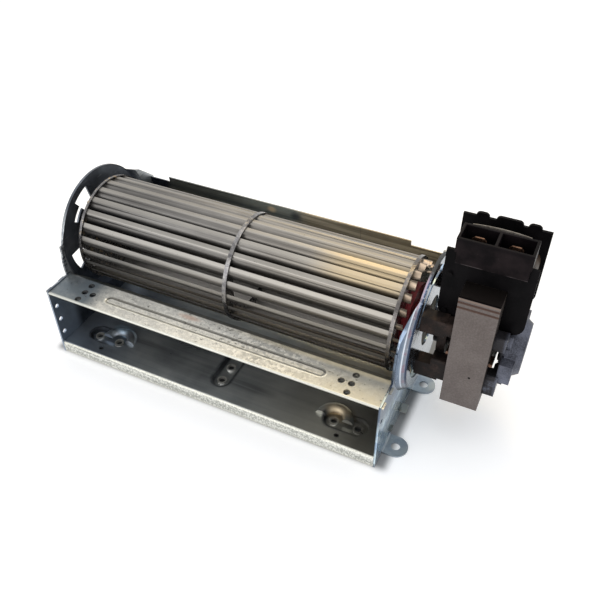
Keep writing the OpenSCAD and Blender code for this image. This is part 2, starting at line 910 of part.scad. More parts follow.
module tongue_plate() {
    bead_y = 9.3 - outlet_y;
    mid = tongue_w / 2;
    color([0.68, 0.69, 0.68])
        row()
            difference() {
                union() {
                    along_x(-sheet_l / 2, sheet_l / 2)
                        tongue_section();
                    translate([mark_shift, bead_y, -tongue_drop - sheet_t - bead_h])
                        linear_extrude(sheet_t)
                            slot2d(bead_l + sheet_t, bead_w + sheet_t);
                    for (y = lock_tongue())
                        lock_tabs(y, -tongue_drop);
                }
                translate([mark_shift, bead_y, -tongue_drop - bead_h])
                    linear_extrude(bead_h + over)
                        slot2d(bead_l - sheet_t, bead_w - sheet_t);
                for (s = [-1, 1])
                    translate([mark_shift + s * dot_x, mid - 0.6 - outlet_y, -tongue_drop - 3 * sheet_t])
                        for (p = [[0, dot_pitch], [0, 0], [0, -dot_pitch], [-s * 5.2, 0]])
                            translate([p[0], p[1], 0])
                                cylinder(h = 4 * sheet_t, d = dot_d);
            }
}

// Rubber grommet that holds the left bearing bush in its plate
module rubber_grommet() {
    x0 = left_x - plate_t - seat_gap;
    x1 = left_x + seat_gap;
    color([0.1, 0.1, 0.1])
        row()
            difference() {
                union() {
                    rod(x0 - 1.6, x0, grommet_d / 2);
                    rod(x0 - 0.1, x1 + 0.1, grommet_seat_d / 2 - seat_gap);
                    rod(x1, x1 + 1.6, grommet_d / 2);
                }
                rod(x0 - 3, x1 + 3, bush_d / 2 + seat_gap / 2);
            }
}

module left_bush() {
    x0 = left_x - plate_t - seat_gap - 1.6;
    x1 = left_x + seat_gap + 1.6;
    color([0.62, 0.5, 0.3])
        row()
            difference() {
                union() {
                    rod(x0 - 0.5, x1 + 0.2, bush_d / 2);
                    rod(x0 - 1.2, x0 - seat_gap, bush_d / 2 + 1);
                }
                rod(x0 - 3, x1 + 3, shaft_r + run_gap);
            }
}

// Laminated C-shaped stack with the bore for the rotor
module stator_core() {
    ring_in = rotor_bore / 2 + 0.6;
    color([0.4, 0.38, 0.35])
        row()
            difference() {
                along_x(core_x, core_end)
                    difference() {
                        translate([-core_w / 2, -core_low])
                            square([core_w, core_low + core_top]);
                        translate([-coil_y, window_floor])
                            square([2 * coil_y, core_top]);
                        circle(d = rotor_bore);
                        for (p = BOLTS)
                            translate(p)
                                circle(bolt_d / 2 + bolt_gap);
                        for (s = [-1, 1])
                            for (k = [2.6, 5.4])
                                translate([s * core_w / 2, core_top - k])
                                    circle(d = 0.9, $fn = 4);
                        for (a = [ring_angle, ring_angle + 180])
                            rotate(a)
                                for (r = [ring_in, ring_in + 5])
                                    translate([r + 0.8, 0])
                                        square(1.6 + 2 * coil_gap, center = true);
                    }
            }
}

// Laminated bar that carries the coil between the legs of the core
module core_bar() {
    color([0.36, 0.34, 0.32])
        row()
            along_x(core_x, core_end)
                translate([seat_gap - coil_y, bar_low])
                    square([2 * coil_y - 2 * seat_gap, bar_h]);
}

// Two copper rings, each round one pole tip
module shading_rings() {
    ring_in = rotor_bore / 2 + 0.6;
    color([0.72, 0.4, 0.24])
        row()
            for (a = [ring_angle, ring_angle + 180])
                rotate([a, 0, 0])
                    difference() {
                        translate([core_x - 1.8, ring_in, -0.8])
                            cube([stack_t + 3.6, 6.6, 1.6]);
                        translate([core_x - 0.2, ring_in + 1.6, -over])
                            cube([stack_t + 0.4, 3.4, 2 * over]);
                    }
}

// Flange of the bobbin, with rounded lower corners
module flange_section(top) {
    r = 6;
    translate([-flange_w / 2, flange_low + r])
        square([flange_w, top - flange_low - r]);
    translate([r - flange_w / 2, flange_low])
        square([flange_w - 2 * r, r + 1]);
    for (s = [-1, 1])
        translate([s * (flange_w / 2 - r), flange_low + r])
            circle(r);
}

module coil_bobbin() {
    rear_top = core_top + flange_rise + rear_rise;
    color([0.05, 0.05, 0.055])
        row()
            translate([flange_x, 0, 0])
                difference() {
                    union() {
                        along_y(-coil_y, -coil_y + flange_t)
                            flange_section(core_top + flange_rise);
                        along_y(coil_y - flange_t, coil_y) {
                            flange_section(rear_top);
                            translate([-11, rear_top])
                                slot2d(6, 4);
                            translate([1, rear_top])
                                slot2d(12, 4);
                            translate([12, rear_top])
                                slot2d(6, 4);
                        }
                        along_y(-coil_y, coil_y)
                            translate([-stack_t / 2 - tube_r, bar_low - tube_r])
                                square([stack_t + 2 * tube_r, bar_h + 2 * tube_r]);
                        for (z = [core_top + 1.6, flange_low + 4])
                            translate([-flange_w / 2 + 3.4, -coil_y, z])
                                rotate([90, 0, 0])
                                    cylinder(h = 1.2, d = 2.4);
                    }
                    along_y(-coil_y - over, coil_y + over)
                        translate([-stack_t / 2 - coil_gap, bar_low - coil_gap])
                            square([stack_t + 2 * coil_gap, bar_h + 2 * coil_gap]);
                }
}

// Coil wound round the bobbin's tube, under its tape
module coil_winding() {
    in_r = tube_r + coil_gap;
    out_r = in_r + winding_t;
    y = coil_y - flange_t - coil_gap;
    color([0.16, 0.11, 0.07])
        row()
            translate([flange_x, 0, 0])
                along_y(-y, y)
                    difference() {
                        union() {
                            translate([-stack_t / 2 - out_r, bar_low - in_r])
                                square([stack_t + 2 * out_r, bar_h + 2 * in_r]);
                            translate([-stack_t / 2 - in_r, bar_low - out_r])
                                square([stack_t + 2 * in_r, bar_h + 2 * out_r]);
                            for (sx = [-1, 1])
                                for (z = [bar_low - in_r, core_top + in_r])
                                    translate([sx * (stack_t / 2 + in_r), z])
                                        circle(winding_t);
                        }
                        translate([-stack_t / 2 - in_r, bar_low - in_r])
                            square([stack_t + 2 * in_r, bar_h + 2 * in_r]);
                    }
}

// Curved card that stands on the winding behind the terminal housing
module insulation_card() {
    r = card_r;
    z = winding_top + coil_gap + seat_gap;
    color([0.8, 0.77, 0.7])
        row()
            translate([flange_x, housing_back + 1.7 - r, z])
                linear_extrude(card_h)
                    sector(r, r + 0.4, 90 - card_span / 2, 90 + card_span / 2);
}

// Connector block with one cavity for each terminal
module terminal_housing() {
    foot_z = winding_top + coil_gap + seat_gap;
    cell_w = (housing_w - 3 * housing_t) / 2;
    cell_d = housing_d - 2 * housing_t;
    back_d = housing_back + coil_y - flange_t - coil_gap;
    color([0.07, 0.06, 0.06])
        row()
            translate([flange_x + 0.2, 0, 0])
                difference() {
                    union() {
                        translate([-housing_w / 2, housing_front, core_top + flange_rise + seat_gap])
                            cube([housing_w, housing_d, housing_z - core_top - flange_rise - seat_gap]);
                        translate([-housing_w / 2 + 1, housing_front, core_top + 9])
                            cube([housing_w - 1.5, housing_t, flange_rise - 8]);
                        translate([-housing_w / 2 + 1, flange_t - coil_y + coil_gap, foot_z])
                            cube([housing_w - 2, back_d, housing_z - foot_z - 1]);
                    }
                    for (s = [-1, 1]) {
                        translate([s * spade_x - cell_w / 2, housing_front + housing_t, cavity_z])
                            cube([cell_w, cell_d, cavity_h + over]);
                        translate([s * spade_x, spade_y, 0])
                            translate([-spade_w / 2 - seat_gap, -spade_t / 2 - seat_gap, foot_z - over])
                                cube([spade_w + 2 * seat_gap, spade_t + 2 * seat_gap, housing_z]);
                    }
                }
}

// Spade terminal with a chamfered tip
module terminal(s) {
    z0 = winding_top + coil_gap + 2 * seat_gap;
    z1 = housing_z - 1.6;
    color([0.68, 0.42, 0.28])
        row()
            translate([flange_x + 0.2 + s * spade_x, 0, 0])
                along_y(spade_y - spade_t / 2, spade_y + spade_t / 2)
                    difference() {
                        polygon([
                            [-spade_w / 2, z0],
                            [spade_w / 2, z0],
                            [spade_w / 2, z1 - 1.4],
                            [spade_w / 2 - 1.2, z1],
                            [1.2 - spade_w / 2, z1],
                            [-spade_w / 2, z1 - 1.4]
                        ]);
                        translate([0, z1 - 3.6])
                            circle(d = 1.5);
                    }
}

// Section that joins the centre with the feet or legs
module arms_section(points, w, r) {
    circle(r);
    for (p = points)
        strip([0, 0], p, w);
}

// Block of one foot, with rounded corners, round a bracket screw
module foot_section(p) {
    h = p[1] < 0 ? foot_low_h : foot_top_h;
    translate(p) {
        square([foot_w, h - 3], center = true);
        square([foot_w - 3, h], center = true);
        for (y = [-1, 1])
            for (z = [-1, 1])
                translate([y * (foot_w / 2 - 1.5), z * (h / 2 - 1.5)])
                    circle(1.5);
    }
}

// Inner die-cast bracket: boss, arms, feet on the core and legs on the side plate
module inner_bracket() {
    front = plate_face + seat_gap;
    color([0.2, 0.16, 0.14])
        row()
            difference() {
                union() {
                    along_x(bracket_x, bracket_x + arm_t)
                        arms_section(BOLTS, 6.4, boss_r + 5.5);
                    rod(bracket_x - 3, core_x - 1.6, boss_r);
                    for (p = BOLTS)
                        along_x(bracket_x, core_x - seat_gap)
                            foot_section(p);
                    for (p = LEGS)
                        along_x(front, bracket_x + arm_t)
                            translate(p)
                                square([foot_w - 0.4, leg_h], center = true);
                }
                bearing_seat(ball_x[0]);
                rod(front - over, bracket_x + over, shaft_r + 0.6);
                rod(ball_x[0], core_x + over, ball_d / 2 - 0.6);
                for (p = BOLTS)
                    translate([0, p[0], p[1]])
                        rod(core_x - grip_l - 0.5, core_x + over, bolt_d / 2 + seat_gap);
                for (p = LEGS)
                    translate([0, p[0], p[1]])
                        rod(front - over, front + 6.5, leg_bolt_d / 2 + seat_gap);
            }
}

// Ball with flat ends about an axis along X
module ball(x, r, r_in) {
    translate([x, 0, 0])
        rotate([0, 90, 0])
            rotate_extrude()
                intersection() {
                    circle(r);
                    translate([r_in, 1 - ball_d / 2])
                        square([r, ball_d - 2]);
                }
}

// Round seat for a self-aligning bearing
module bearing_seat(x) {
    ball(x, ball_d / 2 + seat_gap, 0);
}

// Outer die-cast bracket: bell with a bearing boss, two side lugs and four feet
module outer_bracket() {
    x0 = core_end + seat_gap;
    rim_x = core_end + foot_out;
    head_x = rim_x - head_h;
    lug_low = head_d / 2 + 0.4 - bolt_low;
    color([0.46, 0.49, 0.54])
        row()
            difference() {
                union() {
                    translate([rim_x, 0, 0])
                        rotate([0, 90, 0])
                            rotate_extrude()
                                polygon([
                                    [0, 0],
                                    [bell_r, 0],
                                    [bell_r, bell_h - foot_out - bell_edge],
                                    [bell_r - 1.9, bell_h - foot_out],
                                    [0, bell_h - foot_out]
                                ]);
                    rod(core_end + 2.2, rim_x + 1, boss_r);
                    along_x(rim_x - 2, rim_x + 2)
                        arms_section(BOLTS, 6, bell_r - 1);
                    for (p = BOLTS)
                        along_x(x0, rim_x)
                            foot_section(p);
                    for (a = [0, 180])
                        rotate([a, 0, 0])
                            along_x(rim_x - 1, rim_x + 5.2)
                                translate([-bolt_y - foot_w / 2 + 1.6, lug_low])
                                    square([foot_w, 3.4 - lug_low]);
                    for (s = [-1, 1])
                        along_x(core_end + 2.2, rim_x)
                            translate([s * bolt_y / 2 + s, -bolt_low])
                                square([bolt_y - 4, foot_low_h], center = true);
                }
                rod(core_end, ball_x[1], ball_d / 2 - 0.6);
                difference() {
                    rod(core_end, core_end + bell_in, bell_r - 2.5);
                    rod(core_end + 1.8, core_end + bell_in + 1, boss_r);
                }
                bearing_seat(ball_x[1]);
                rod(ball_x[1], core_end + bell_h - 1.5, shaft_r + 0.6);
                for (p = BOLTS)
                    translate([0, p[0], p[1]]) {
                        rod(core_end - over, rim_x, bolt_d / 2 + bolt_gap);
                        rod(head_x, core_end + bell_h + over, head_d / 2 + 0.2);
                    }
            }
}

// Ball-shaped sintered bearing
module bearing(x) {
    color([0.6, 0.5, 0.32])
        row()
            ball(x, ball_d / 2, shaft_r + run_gap);
}

// Spring disc that holds a bearing in its seat
module retainer(x0, x1) {
    color([0.66, 0.67, 0.68])
        row()
            difference() {
                rod(x0, x1, ball_d / 2 - 0.7);
                rod(x0 - over, x1 + over, shaft_r + 1.8);
            }
}

// Long screws through both brackets and the core, heads sunk in the outer feet
module bracket_screws() {
    head_x = core_end + foot_out - head_h + seat_gap;
    color([0.6, 0.6, 0.62])
        row()
            for (p = BOLTS)
                translate([0, p[0], p[1]])
                    difference() {
                        union() {
                            rod(core_x - grip_l, head_x + 0.1, bolt_d / 2);
                            rod(head_x, head_x + head_h, head_d / 2);
                        }
                        translate([head_x + head_h - 1.2, -0.6, -head_d])
                            cube([3, 1.2, 2 * head_d]);
                    }
}

// Short screws from inside the right side plate into the bracket's legs
module mounting_screws() {
    head_x = right_x - seat_gap;
    color([0.66, 0.66, 0.66])
        row()
            for (p = LEGS)
                translate([0, p[0], p[1]])
                    difference() {
                        union() {
                            rod(head_x - 2, head_x, leg_head_d / 2);
                            rod(head_x - 0.1, plate_face + 5.5, leg_bolt_d / 2);
                        }
                        translate([head_x - 3, -0.5, -leg_head_d])
                            cube([1.9, 1, 2 * leg_head_d]);
                    }
}

scroll_plate();
tongue_plate();
left_side_plate();
right_side_plate();
rubber_grommet();
left_bush();
left_disc();
middle_disc();
right_disc();
stub_shaft();
rubber_hub();
motor_shaft();
rotor();
shaft_washers();
stator_core();
core_bar();
shading_rings();
coil_bobbin();
coil_winding();
insulation_card();
terminal_housing();
terminal(-1);  // terminal_left
terminal(1);  // terminal_right
inner_bracket();
outer_bracket();
bearing(ball_x[0]);  // inner_bearing
bearing(ball_x[1]);  // outer_bearing
retainer(ball_x[0] + 4.4, ball_x[0] + 4.8);  // inner_retainer
retainer(ball_x[1] - 4.8, ball_x[1] - 4.4);  // outer_retainer
bracket_screws();
mounting_screws();
for (i = [1:blade_count])
    blade(i);
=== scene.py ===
"""Looks of the crossflow blower: finishes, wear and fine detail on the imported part, in metres."""

import json
import math

import bmesh
import bpy
from mathutils import Euler, Matrix, Vector


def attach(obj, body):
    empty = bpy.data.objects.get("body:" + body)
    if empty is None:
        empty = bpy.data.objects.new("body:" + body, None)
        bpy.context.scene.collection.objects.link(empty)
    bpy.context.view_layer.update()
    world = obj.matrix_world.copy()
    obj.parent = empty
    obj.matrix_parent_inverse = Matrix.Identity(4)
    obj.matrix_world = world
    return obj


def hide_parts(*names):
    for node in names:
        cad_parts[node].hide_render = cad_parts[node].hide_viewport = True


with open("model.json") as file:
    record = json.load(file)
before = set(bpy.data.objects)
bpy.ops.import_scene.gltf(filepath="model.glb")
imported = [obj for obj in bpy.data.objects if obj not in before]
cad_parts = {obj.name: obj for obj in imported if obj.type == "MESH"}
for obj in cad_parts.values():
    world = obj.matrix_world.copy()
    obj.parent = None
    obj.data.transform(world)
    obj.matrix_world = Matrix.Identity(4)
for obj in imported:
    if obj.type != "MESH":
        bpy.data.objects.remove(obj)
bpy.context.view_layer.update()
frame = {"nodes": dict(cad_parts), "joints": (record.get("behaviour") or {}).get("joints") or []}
nodes = frame["nodes"]


# The camera stands where the photograph was taken from: to the right of the outlet,
# about a third of a metre away, looking down on the drum.
CAMERA_PLACE = (0.15134, -0.23936, 0.28694)
CAMERA_TURN = (49.04, 0.19, 25.37)  # degrees about X, Y and Z
camera = bpy.data.objects.new("camera", bpy.data.cameras.new("camera"))
camera.data.sensor_width = 36
camera.data.lens = 41.9
camera.data.clip_start = 0.01
camera.location = CAMERA_PLACE
camera.rotation_euler = Euler([math.radians(angle) for angle in CAMERA_TURN])
bpy.context.collection.objects.link(camera)
bpy.context.scene.camera = camera
bpy.context.scene.view_settings.view_transform = "Standard"


# The studio: a pale floor under the ears, white surroundings, two large dim softboxes and a
# small warm one behind that puts the golden gleam on top of the drum. Floor and fan have
# finishes of nodes, written in millimetres as expressions on what the nodes give out.
MM = 1000  # millimetres in a metre


class Channel:
    """What one node of a tree gives out; arithmetic on it adds Math nodes."""

    def __init__(self, graph, socket):
        self.graph = graph
        self.socket = socket

    def math(self, operation, *values):
        return self.graph.node("Math", {"operation": operation}, dict(enumerate(values)))

    def __add__(self, other):
        return self.math("ADD", self, other)

    def __sub__(self, other):
        return self.math("SUBTRACT", self, other)

    def __rsub__(self, other):
        return self.math("SUBTRACT", other, self)

    def __mul__(self, other):
        return self.math("MULTIPLY", self, other)

    def __truediv__(self, other):
        return self.math("DIVIDE", self, other)

    def __pow__(self, other):
        return self.math("POWER", self, other)

    def __or__(self, other):
        return self.math("MAXIMUM", self, other)

    def __abs__(self):
        return self.math("ABSOLUTE", self)

    __radd__ = __add__
    __rmul__ = __mul__

    def fract(self):
        return self.math("FRACT", self)

    def rise(self, low, high):
        """0 below low, 1 above high and smooth between; low may be the larger one."""
        if low > high:
            return 1 - self.rise(high, low)
        limits = {"Value": self, "From Min": low, "From Max": high}
        return self.graph.node("MapRange", {"interpolation_type": "SMOOTHSTEP"}, limits)

    def band(self, low, high, soft):
        """1 between low and high, fading over the soft width."""
        return self.rise(low - soft, low) * self.rise(high + soft, high)


class Graph:
    """A node tree, of a finish or of a shape."""

    def __init__(self, tree):
        self.tree = tree

    def feed(self, socket, value):
        if isinstance(value, Channel):
            self.tree.links.new(value.socket, socket)
        elif socket.type == "RGBA":
            socket.default_value = (*value, 1)
        else:
            socket.default_value = value

    def node(self, kind, settings=None, inputs=None, output=0):
        """Adds a node, its settings first and then its sockets, and gives back one output.
        A kind is a node's type, or just the rest of it after ShaderNode."""
        made = self.tree.nodes.new(kind if "Node" in kind else "ShaderNode" + kind)
        for name, value in (settings or {}).items():
            if name == "stops":
                ramp = made.color_ramp
                while len(ramp.elements) < len(value):
                    ramp.elements.new(0.5)
                for element, (place, colour) in zip(ramp.elements, value):
                    element.position = place
                    element.color = (*colour, 1)
            else:
                setattr(made, name, value)
        for key, value in (inputs or {}).items():
            self.feed(made.inputs[key], value)
        return Channel(self, made.outputs[output])

    def mix(self, share, one, two):
        """Colour two over colour one, by the given share. A Mix node has its two colours in
        sockets 6 and 7 and gives out the result as output 2."""
        colours = {"Factor": share, 6: one, 7: two}
        return self.node("Mix", {"data_type": "RGBA"}, colours, output=2)


class Finish(Graph):
    """A finish of the fan: a Principled shader, its colour so far and the nodes that vary it."""

    EXACT = {"specular": "Specular IOR Level"}

    def __init__(self, name, **surface):
        self.material = bpy.data.materials.new(name)
        self.material.use_nodes = True
        super().__init__(self.material.node_tree)
        self.tree.nodes.clear()
        self.shader = self.tree.nodes.new("ShaderNodeBsdfPrincipled")
        output = self.tree.nodes.new("ShaderNodeOutputMaterial")
        self.tree.links.new(self.shader.outputs[0], output.inputs["Surface"])
        self.colour = None
        self.surface(**surface)

    def surface(self, **sockets):
        """Sets or links the shader's sockets; underscores in a name stand for spaces, and a
        name that differs in more than that is in EXACT."""
        for name, value in sockets.items():
            self.feed(self.shader.inputs[self.EXACT.get(name, name.replace("_", " ").title())], value)

    def ground(self, value, *stops):
        """The colour under all stains: a ramp over a value from 0 to 1."""
        self.colour = self.node("ValToRGB", {"stops": stops}, {"Fac": value})
        self.surface(base_color=self.colour)

    def stain(self, share, colour):
        """Lays one more colour over those so far, by a share that varies over the piece."""
        self.colour = self.mix(share, self.colour, colour)
        self.surface(base_color=self.colour)

    def place(self, scale=(1, 1, 1)):
        """Object coordinates, scaled so that a pattern can run along one direction."""
        spot = self.node("TexCoord", output="Object")
        return self.node("Mapping", {}, {"Vector": spot, "Scale": scale})

    def spot(self):
        """The three object coordinates in millimetres."""
        parts = self.node("SeparateXYZ", {}, {"Vector": self.node("TexCoord", output="Object")})
        outputs = parts.socket.node.outputs
        return [Channel(self, outputs[axis]) * MM for axis in "XYZ"]

    def noise(self, size_mm, detail=3, scale=(1, 1, 1)):
        """Cloudy noise whose features are about size_mm wide."""
        numbers = {"Scale": MM / size_mm, "Detail": detail, "Roughness": 0.55}
        return self.node("TexNoise", {}, {"Vector": self.place(scale), **numbers})

    def cells(self, size_mm):
        """A random value from 0 to 1 for each cell of about that size."""
        numbers = {"Scale": MM / size_mm}
        made = self.node("TexVoronoi", {}, {"Vector": self.place(), **numbers}, output="Color")
        return self.node("SeparateColor", {}, {"Color": made})

    def relief(self, height, depth_mm):
        """Bumps of the given depth, fed to the shader's normal."""
        bumps = {"Height": height, "Distance": depth_mm / MM, "Strength": 1.0}
        self.surface(normal=self.node("Bump", {}, bumps))


def strongest(masks):
    """One mask that is the largest of several."""
    joined = masks[0]
    for mask in masks[1:]:
        joined = joined | mask
    return joined


# The camera, mirrors and glass see white surroundings, but what lights the fan is dimmer.
SHOWN_TO = ("Is Camera Ray", "Is Glossy Ray", "Is Transmission Ray")
WHITE = (1.0, 1.0, 1.0)
FLOOR_SIZE = 6  # metres
FLOOR_GLOW = 0.34
FLOOR_PAINT = (0.86, 0.86, 0.86)
SHADOW_UNDER_FAN = (0.3, 0.3, 0.3)
FOOTPRINT = ((-98, 98), (-36, 62))  # of the housing, in X and Y
FOOTPRINT_FADE = 6
pale_floor = Finish("pale_floor", roughness=0.9, emission_strength=FLOOR_GLOW)
along, across, _ = pale_floor.spot()
covered = along.band(*FOOTPRINT[0], FOOTPRINT_FADE) * across.band(*FOOTPRINT[1], FOOTPRINT_FADE)
shown = strongest([pale_floor.node("LightPath", output=kind) for kind in SHOWN_TO])
# Where the housing stands over it, the floor is painted darker and kept from glowing: a painted shadow.
pale_floor.surface(base_color=pale_floor.mix(covered, FLOOR_PAINT, SHADOW_UNDER_FAN))
pale_floor.surface(emission_color=pale_floor.mix(shown * (1 - covered), (0, 0, 0), WHITE))
bpy.ops.mesh.primitive_plane_add(size=FLOOR_SIZE, location=(0, 0, 0))
floor = bpy.context.object
floor.name = "studio_floor"
floor.data.materials.append(pale_floor.material)

SKY_LIGHT = (0.5, 0.51, 0.53)
world = bpy.data.worlds.new("studio")
world.use_nodes = True
world.node_tree.nodes.clear()
bpy.context.scene.world = world
sky = Graph(world.node_tree)
shown = strongest([sky.node("LightPath", output=kind) for kind in SHOWN_TO])
dim = sky.node("Background", {}, {"Color": SKY_LIGHT})
white = sky.node("Background", {}, {"Color": WHITE})
surroundings = sky.tree.nodes.new("ShaderNodeOutputWorld")
sky.feed(surroundings.inputs["Surface"], sky.node("MixShader", {}, {0: shown, 1: dim, 2: white}))

# name: place, size, power in watts, colour
SOFTBOXES = {
    "softbox_top": ((0.05, 0.1, 1.0), (1.3, 0.9), 4.4, (1.0, 1.0, 1.0)),
    "softbox_front": ((-0.3, -0.85, 0.38), (0.9, 0.5), 3.6, (0.99, 0.99, 1.0)),
    "softbox_warm": ((-0.13, 0.6, 0.75), (0.3, 0.25), 1.5, (1.0, 0.77, 0.38)),
}
LIT_SPOT = (0, 0.01, 0.05)
for name, (spot, size, power, colour) in SOFTBOXES.items():
    lamp = bpy.data.lights.new(name, "AREA")
    lamp.shape = "RECTANGLE"
    lamp.size, lamp.size_y = size
    lamp.energy = power
    lamp.color = colour
    held = bpy.data.objects.new(name, lamp)
    held.location = spot
    held.rotation_euler = (Vector(LIT_SPOT) - Vector(spot)).to_track_quat("-Z", "Y").to_euler()
    bpy.context.collection.objects.link(held)


# Scroll plate: one sheet with a smoky mill finish, rolled round the drum. Its floor has three
# pressed pads with screw holes, painted shade round the pads and painted highlights on the
# hole rims; the front edge is bent down into a lip that has kept its zinc. Painted reflections
# turn the left end blue and the right end brown.
def dress(finish, *names):
    """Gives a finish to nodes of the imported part."""
    for name in names:
        for place in nodes[name].material_slots:
            place.material = finish.material


HINGE = frame["joints"][0]["pos_m"]  # in metres
AXIS = [place * MM for place in HINGE[1:]]  # of the drum, in Y and Z


def reach(dx, dy):
    """Distance of a spot from a centre, from its offsets along two directions."""
    return (dx * dx + dy * dy) ** 0.5


def reach_slot(dx, dy, half):
    """Distance from a line that runs half to both sides along the first direction."""
    return reach((abs(dx) - half) | 0.0, dy)


def side_of(name, axis, pick):
    """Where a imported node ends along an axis, by min or max, in millimetres."""
    return pick(vert.co["XYZ".index(axis)] for vert in nodes[name].data.vertices) * MM


def oval(u, v, centre, half_size, edge=1.0, core=0.2):
    """1 in the core of an oval patch, 0 beyond its edge; both are shares of its half size."""
    across = reach((u - centre[0]) / half_size[0], (v - centre[1]) / half_size[1])
    return across.rise(edge, core)


SCROLL_CENTRE = (14.2, 55.0)  # in Y and Z
SCROLL_SKIN = (48.7, 48.3)  # radii between which the inner face ends
PAD_ROW = -24.4  # in Y
PADS = (
    # centre in X and Y, half the length between its round ends, whether it lies along X
    ((-73.3, PAD_ROW), 6.7, True),
    ((74.3, PAD_ROW), 6.7, True),
    ((1.5, -16.8), 8.2, False),
)
PAD_EDGE = (4.6, 5.6)  # distances from that middle line
SCREW_HOLES = [(place, PAD_ROW) for place in (-80, -66.6, 67.6, 81, 1.5)] + [(1.5, -14.2)]
HOLE_RIM = (1.7, 2.6)  # radii
outlet_front = side_of("scroll_plate", "Y", min)
LIP_FRONT = (outlet_front + 1.1, outlet_front + 0.7)
# where a stain begins and where it is full, in the direction that each name says
TO_LEFT_END = (-45, -85)
TO_RIGHT_END = (5, 70)
UP_THE_BRIM = (46, 56)
BACK_TO_BRIM = (50, 58)
DOWN_TO_FLOOR = (16, 9)
INTO_RIGHT_CORNER = (64, 86)
# centre and half size of oval patches, in X and Y on the floor, in X and Z on the brim
SMEARS = (((-48, -20), (24, 4)), ((17, -24), (22, 5)))
COOL_LIT_PATCH = ((-69.2, -16.1), (7, 4))
WARM_LIT_PATCH = ((68.8, -19.3), (9, 5))
GLINT_OVAL = ((-10.5, 60.5), (4, 3))
DARK_PATCH = ((5, 60), (5, 4))
BARE_SHEET = ((0.36, (0.27, 0.29, 0.31)), (0.5, (0.4, 0.425, 0.44)), (0.66, (0.54, 0.56, 0.56)))
LEFT_END_REFLECTION_BLUE = (0.25, 0.31, 0.4)
RIGHT_END_REFLECTION_BROWN = (0.56, 0.54, 0.46)
SMEAR = (0.1, 0.105, 0.12)
PAD_SHADE = (0.035, 0.038, 0.045)
RIM_HIGHLIGHT = (0.8, 0.78, 0.72)
OLIVE = ((0.17, 0.18, 0.165), (0.33, 0.33, 0.28))
BROWN = ((0.27, 0.22, 0.15), (0.62, 0.52, 0.37))
DARK_END = (0.03, 0.035, 0.05)
BRIM_GLINT = (0.95, 0.72, 0.45)
DARK_SPOT = (0.07, 0.075, 0.085)
COOL_HIGHLIGHT = (0.5, 0.66, 0.8)
WARM_HIGHLIGHT = (0.74, 0.6, 0.4)
CORNER_SHADE = (0.11, 0.105, 0.09)
LIP_ZINC = ((0.26, 0.27, 0.245), (0.55, 0.55, 0.5))
LIP_BARE = (0.78, 0.78, 0.73)
LIP_BEND_HIGHLIGHT = (0.7, 0.69, 0.6)

smoky = Finish("smoky_sheet", metallic=0.8)
x, y, z = smoky.spot()
cloud = smoky.noise(24, 4)
streak = smoky.noise(2.4, 3, scale=(0.025, 1, 1))
fleck = smoky.noise(0.9, 2)
smoky.ground(cloud * 0.65 + streak * 0.35, *BARE_SHEET)
# Painted reflections: blue towards the left end, brown towards the right end.
smoky.stain(x.rise(*TO_LEFT_END) * 0.6, LEFT_END_REFLECTION_BLUE)
smoky.stain(x.rise(*TO_RIGHT_END) * 0.6, RIGHT_END_REFLECTION_BROWN)
smear = strongest([oval(x, y, *patch, core=0.3) for patch in SMEARS])
smoky.stain(smear * streak.rise(0.35, 0.6) * 0.55, SMEAR)

inner_face = reach(y - SCROLL_CENTRE[0], z - SCROLL_CENTRE[1]).rise(*SCROLL_SKIN)
brim = z.rise(*UP_THE_BRIM) * y.rise(*BACK_TO_BRIM) * inner_face
lines = streak.rise(0.4, 0.6)
smoky.stain(brim, smoky.mix(x.rise(2, 14), smoky.mix(lines, *OLIVE), smoky.mix(lines, *BROWN)))
scratch = x.band(44.8, 45.0, 0.2)
smoky.stain(brim * (x.rise(-78, -84) + scratch * 0.3), DARK_END)
# A painted gold glint on the brim.
smoky.stain(oval(x, z, *GLINT_OVAL) * brim * 0.8, BRIM_GLINT)
smoky.stain(brim * oval(x, z, *DARK_PATCH) * 0.8, DARK_SPOT)

duct_floor = z.rise(*DOWN_TO_FLOOR)
outlines = []
for (pad_x, pad_y), half, lies_along in PADS:
    dx, dy = x - pad_x, y - pad_y
    distance = reach_slot(dx, dy, half) if lies_along else reach_slot(dy, dx, half)
    outlines.append(distance.band(*PAD_EDGE, 1.6))
# Painted shade along the walls of the pressed pads, broken up by clouds.
pad_shade = strongest(outlines)
smoky.stain(pad_shade * duct_floor * cloud.rise(0.3, 0.55) * 0.85, PAD_SHADE)
# Painted highlights on the rims of the screw holes, which are also raised a little.
lit_rims = strongest([reach(x - hole_x, y - hole_y).band(*HOLE_RIM, 0.3) for hole_x, hole_y in SCREW_HOLES])
lit_rims = lit_rims * duct_floor
smoky.stain(lit_rims * 0.75, RIM_HIGHLIGHT)
# Painted highlights beside the left pad, cool, and beside the right pad, warm.
smoky.stain(oval(x, y, *COOL_LIT_PATCH, 1.2, 0.4) * duct_floor * 0.8, COOL_HIGHLIGHT)
smoky.stain(oval(x, y, *WARM_LIT_PATCH, 1.2, 0.4) * duct_floor * 0.7, WARM_HIGHLIGHT)
# Painted shade on the duct floor towards the right corner.
smoky.stain(duct_floor * x.rise(*INTO_RIGHT_CORNER) * 0.7, CORNER_SHADE)

lip = y.rise(*LIP_FRONT) * z.rise(9, 7.6)
worn = lip * (fleck * 0.8 + streak * 0.4).rise(0.5, 0.72)
smoky.stain(lip, smoky.mix(streak, *LIP_ZINC))
smoky.stain(worn, LIP_BARE)
# Painted highlights along the lip's upper bend and its lower edge.
smoky.stain(lip * (z.rise(5.6, 6.6) | z.rise(1.6, 0.7)) * 0.6, LIP_BEND_HIGHLIGHT)
smoky.surface(roughness=cloud * 0.2 + streak * 0.12 + lip * 0.2 + pad_shade * 0.2 + 0.16)
smoky.relief(cloud * 0.4 + fleck * 0.06 + lit_rims, 0.2)
dress(smoky, "scroll_plate")
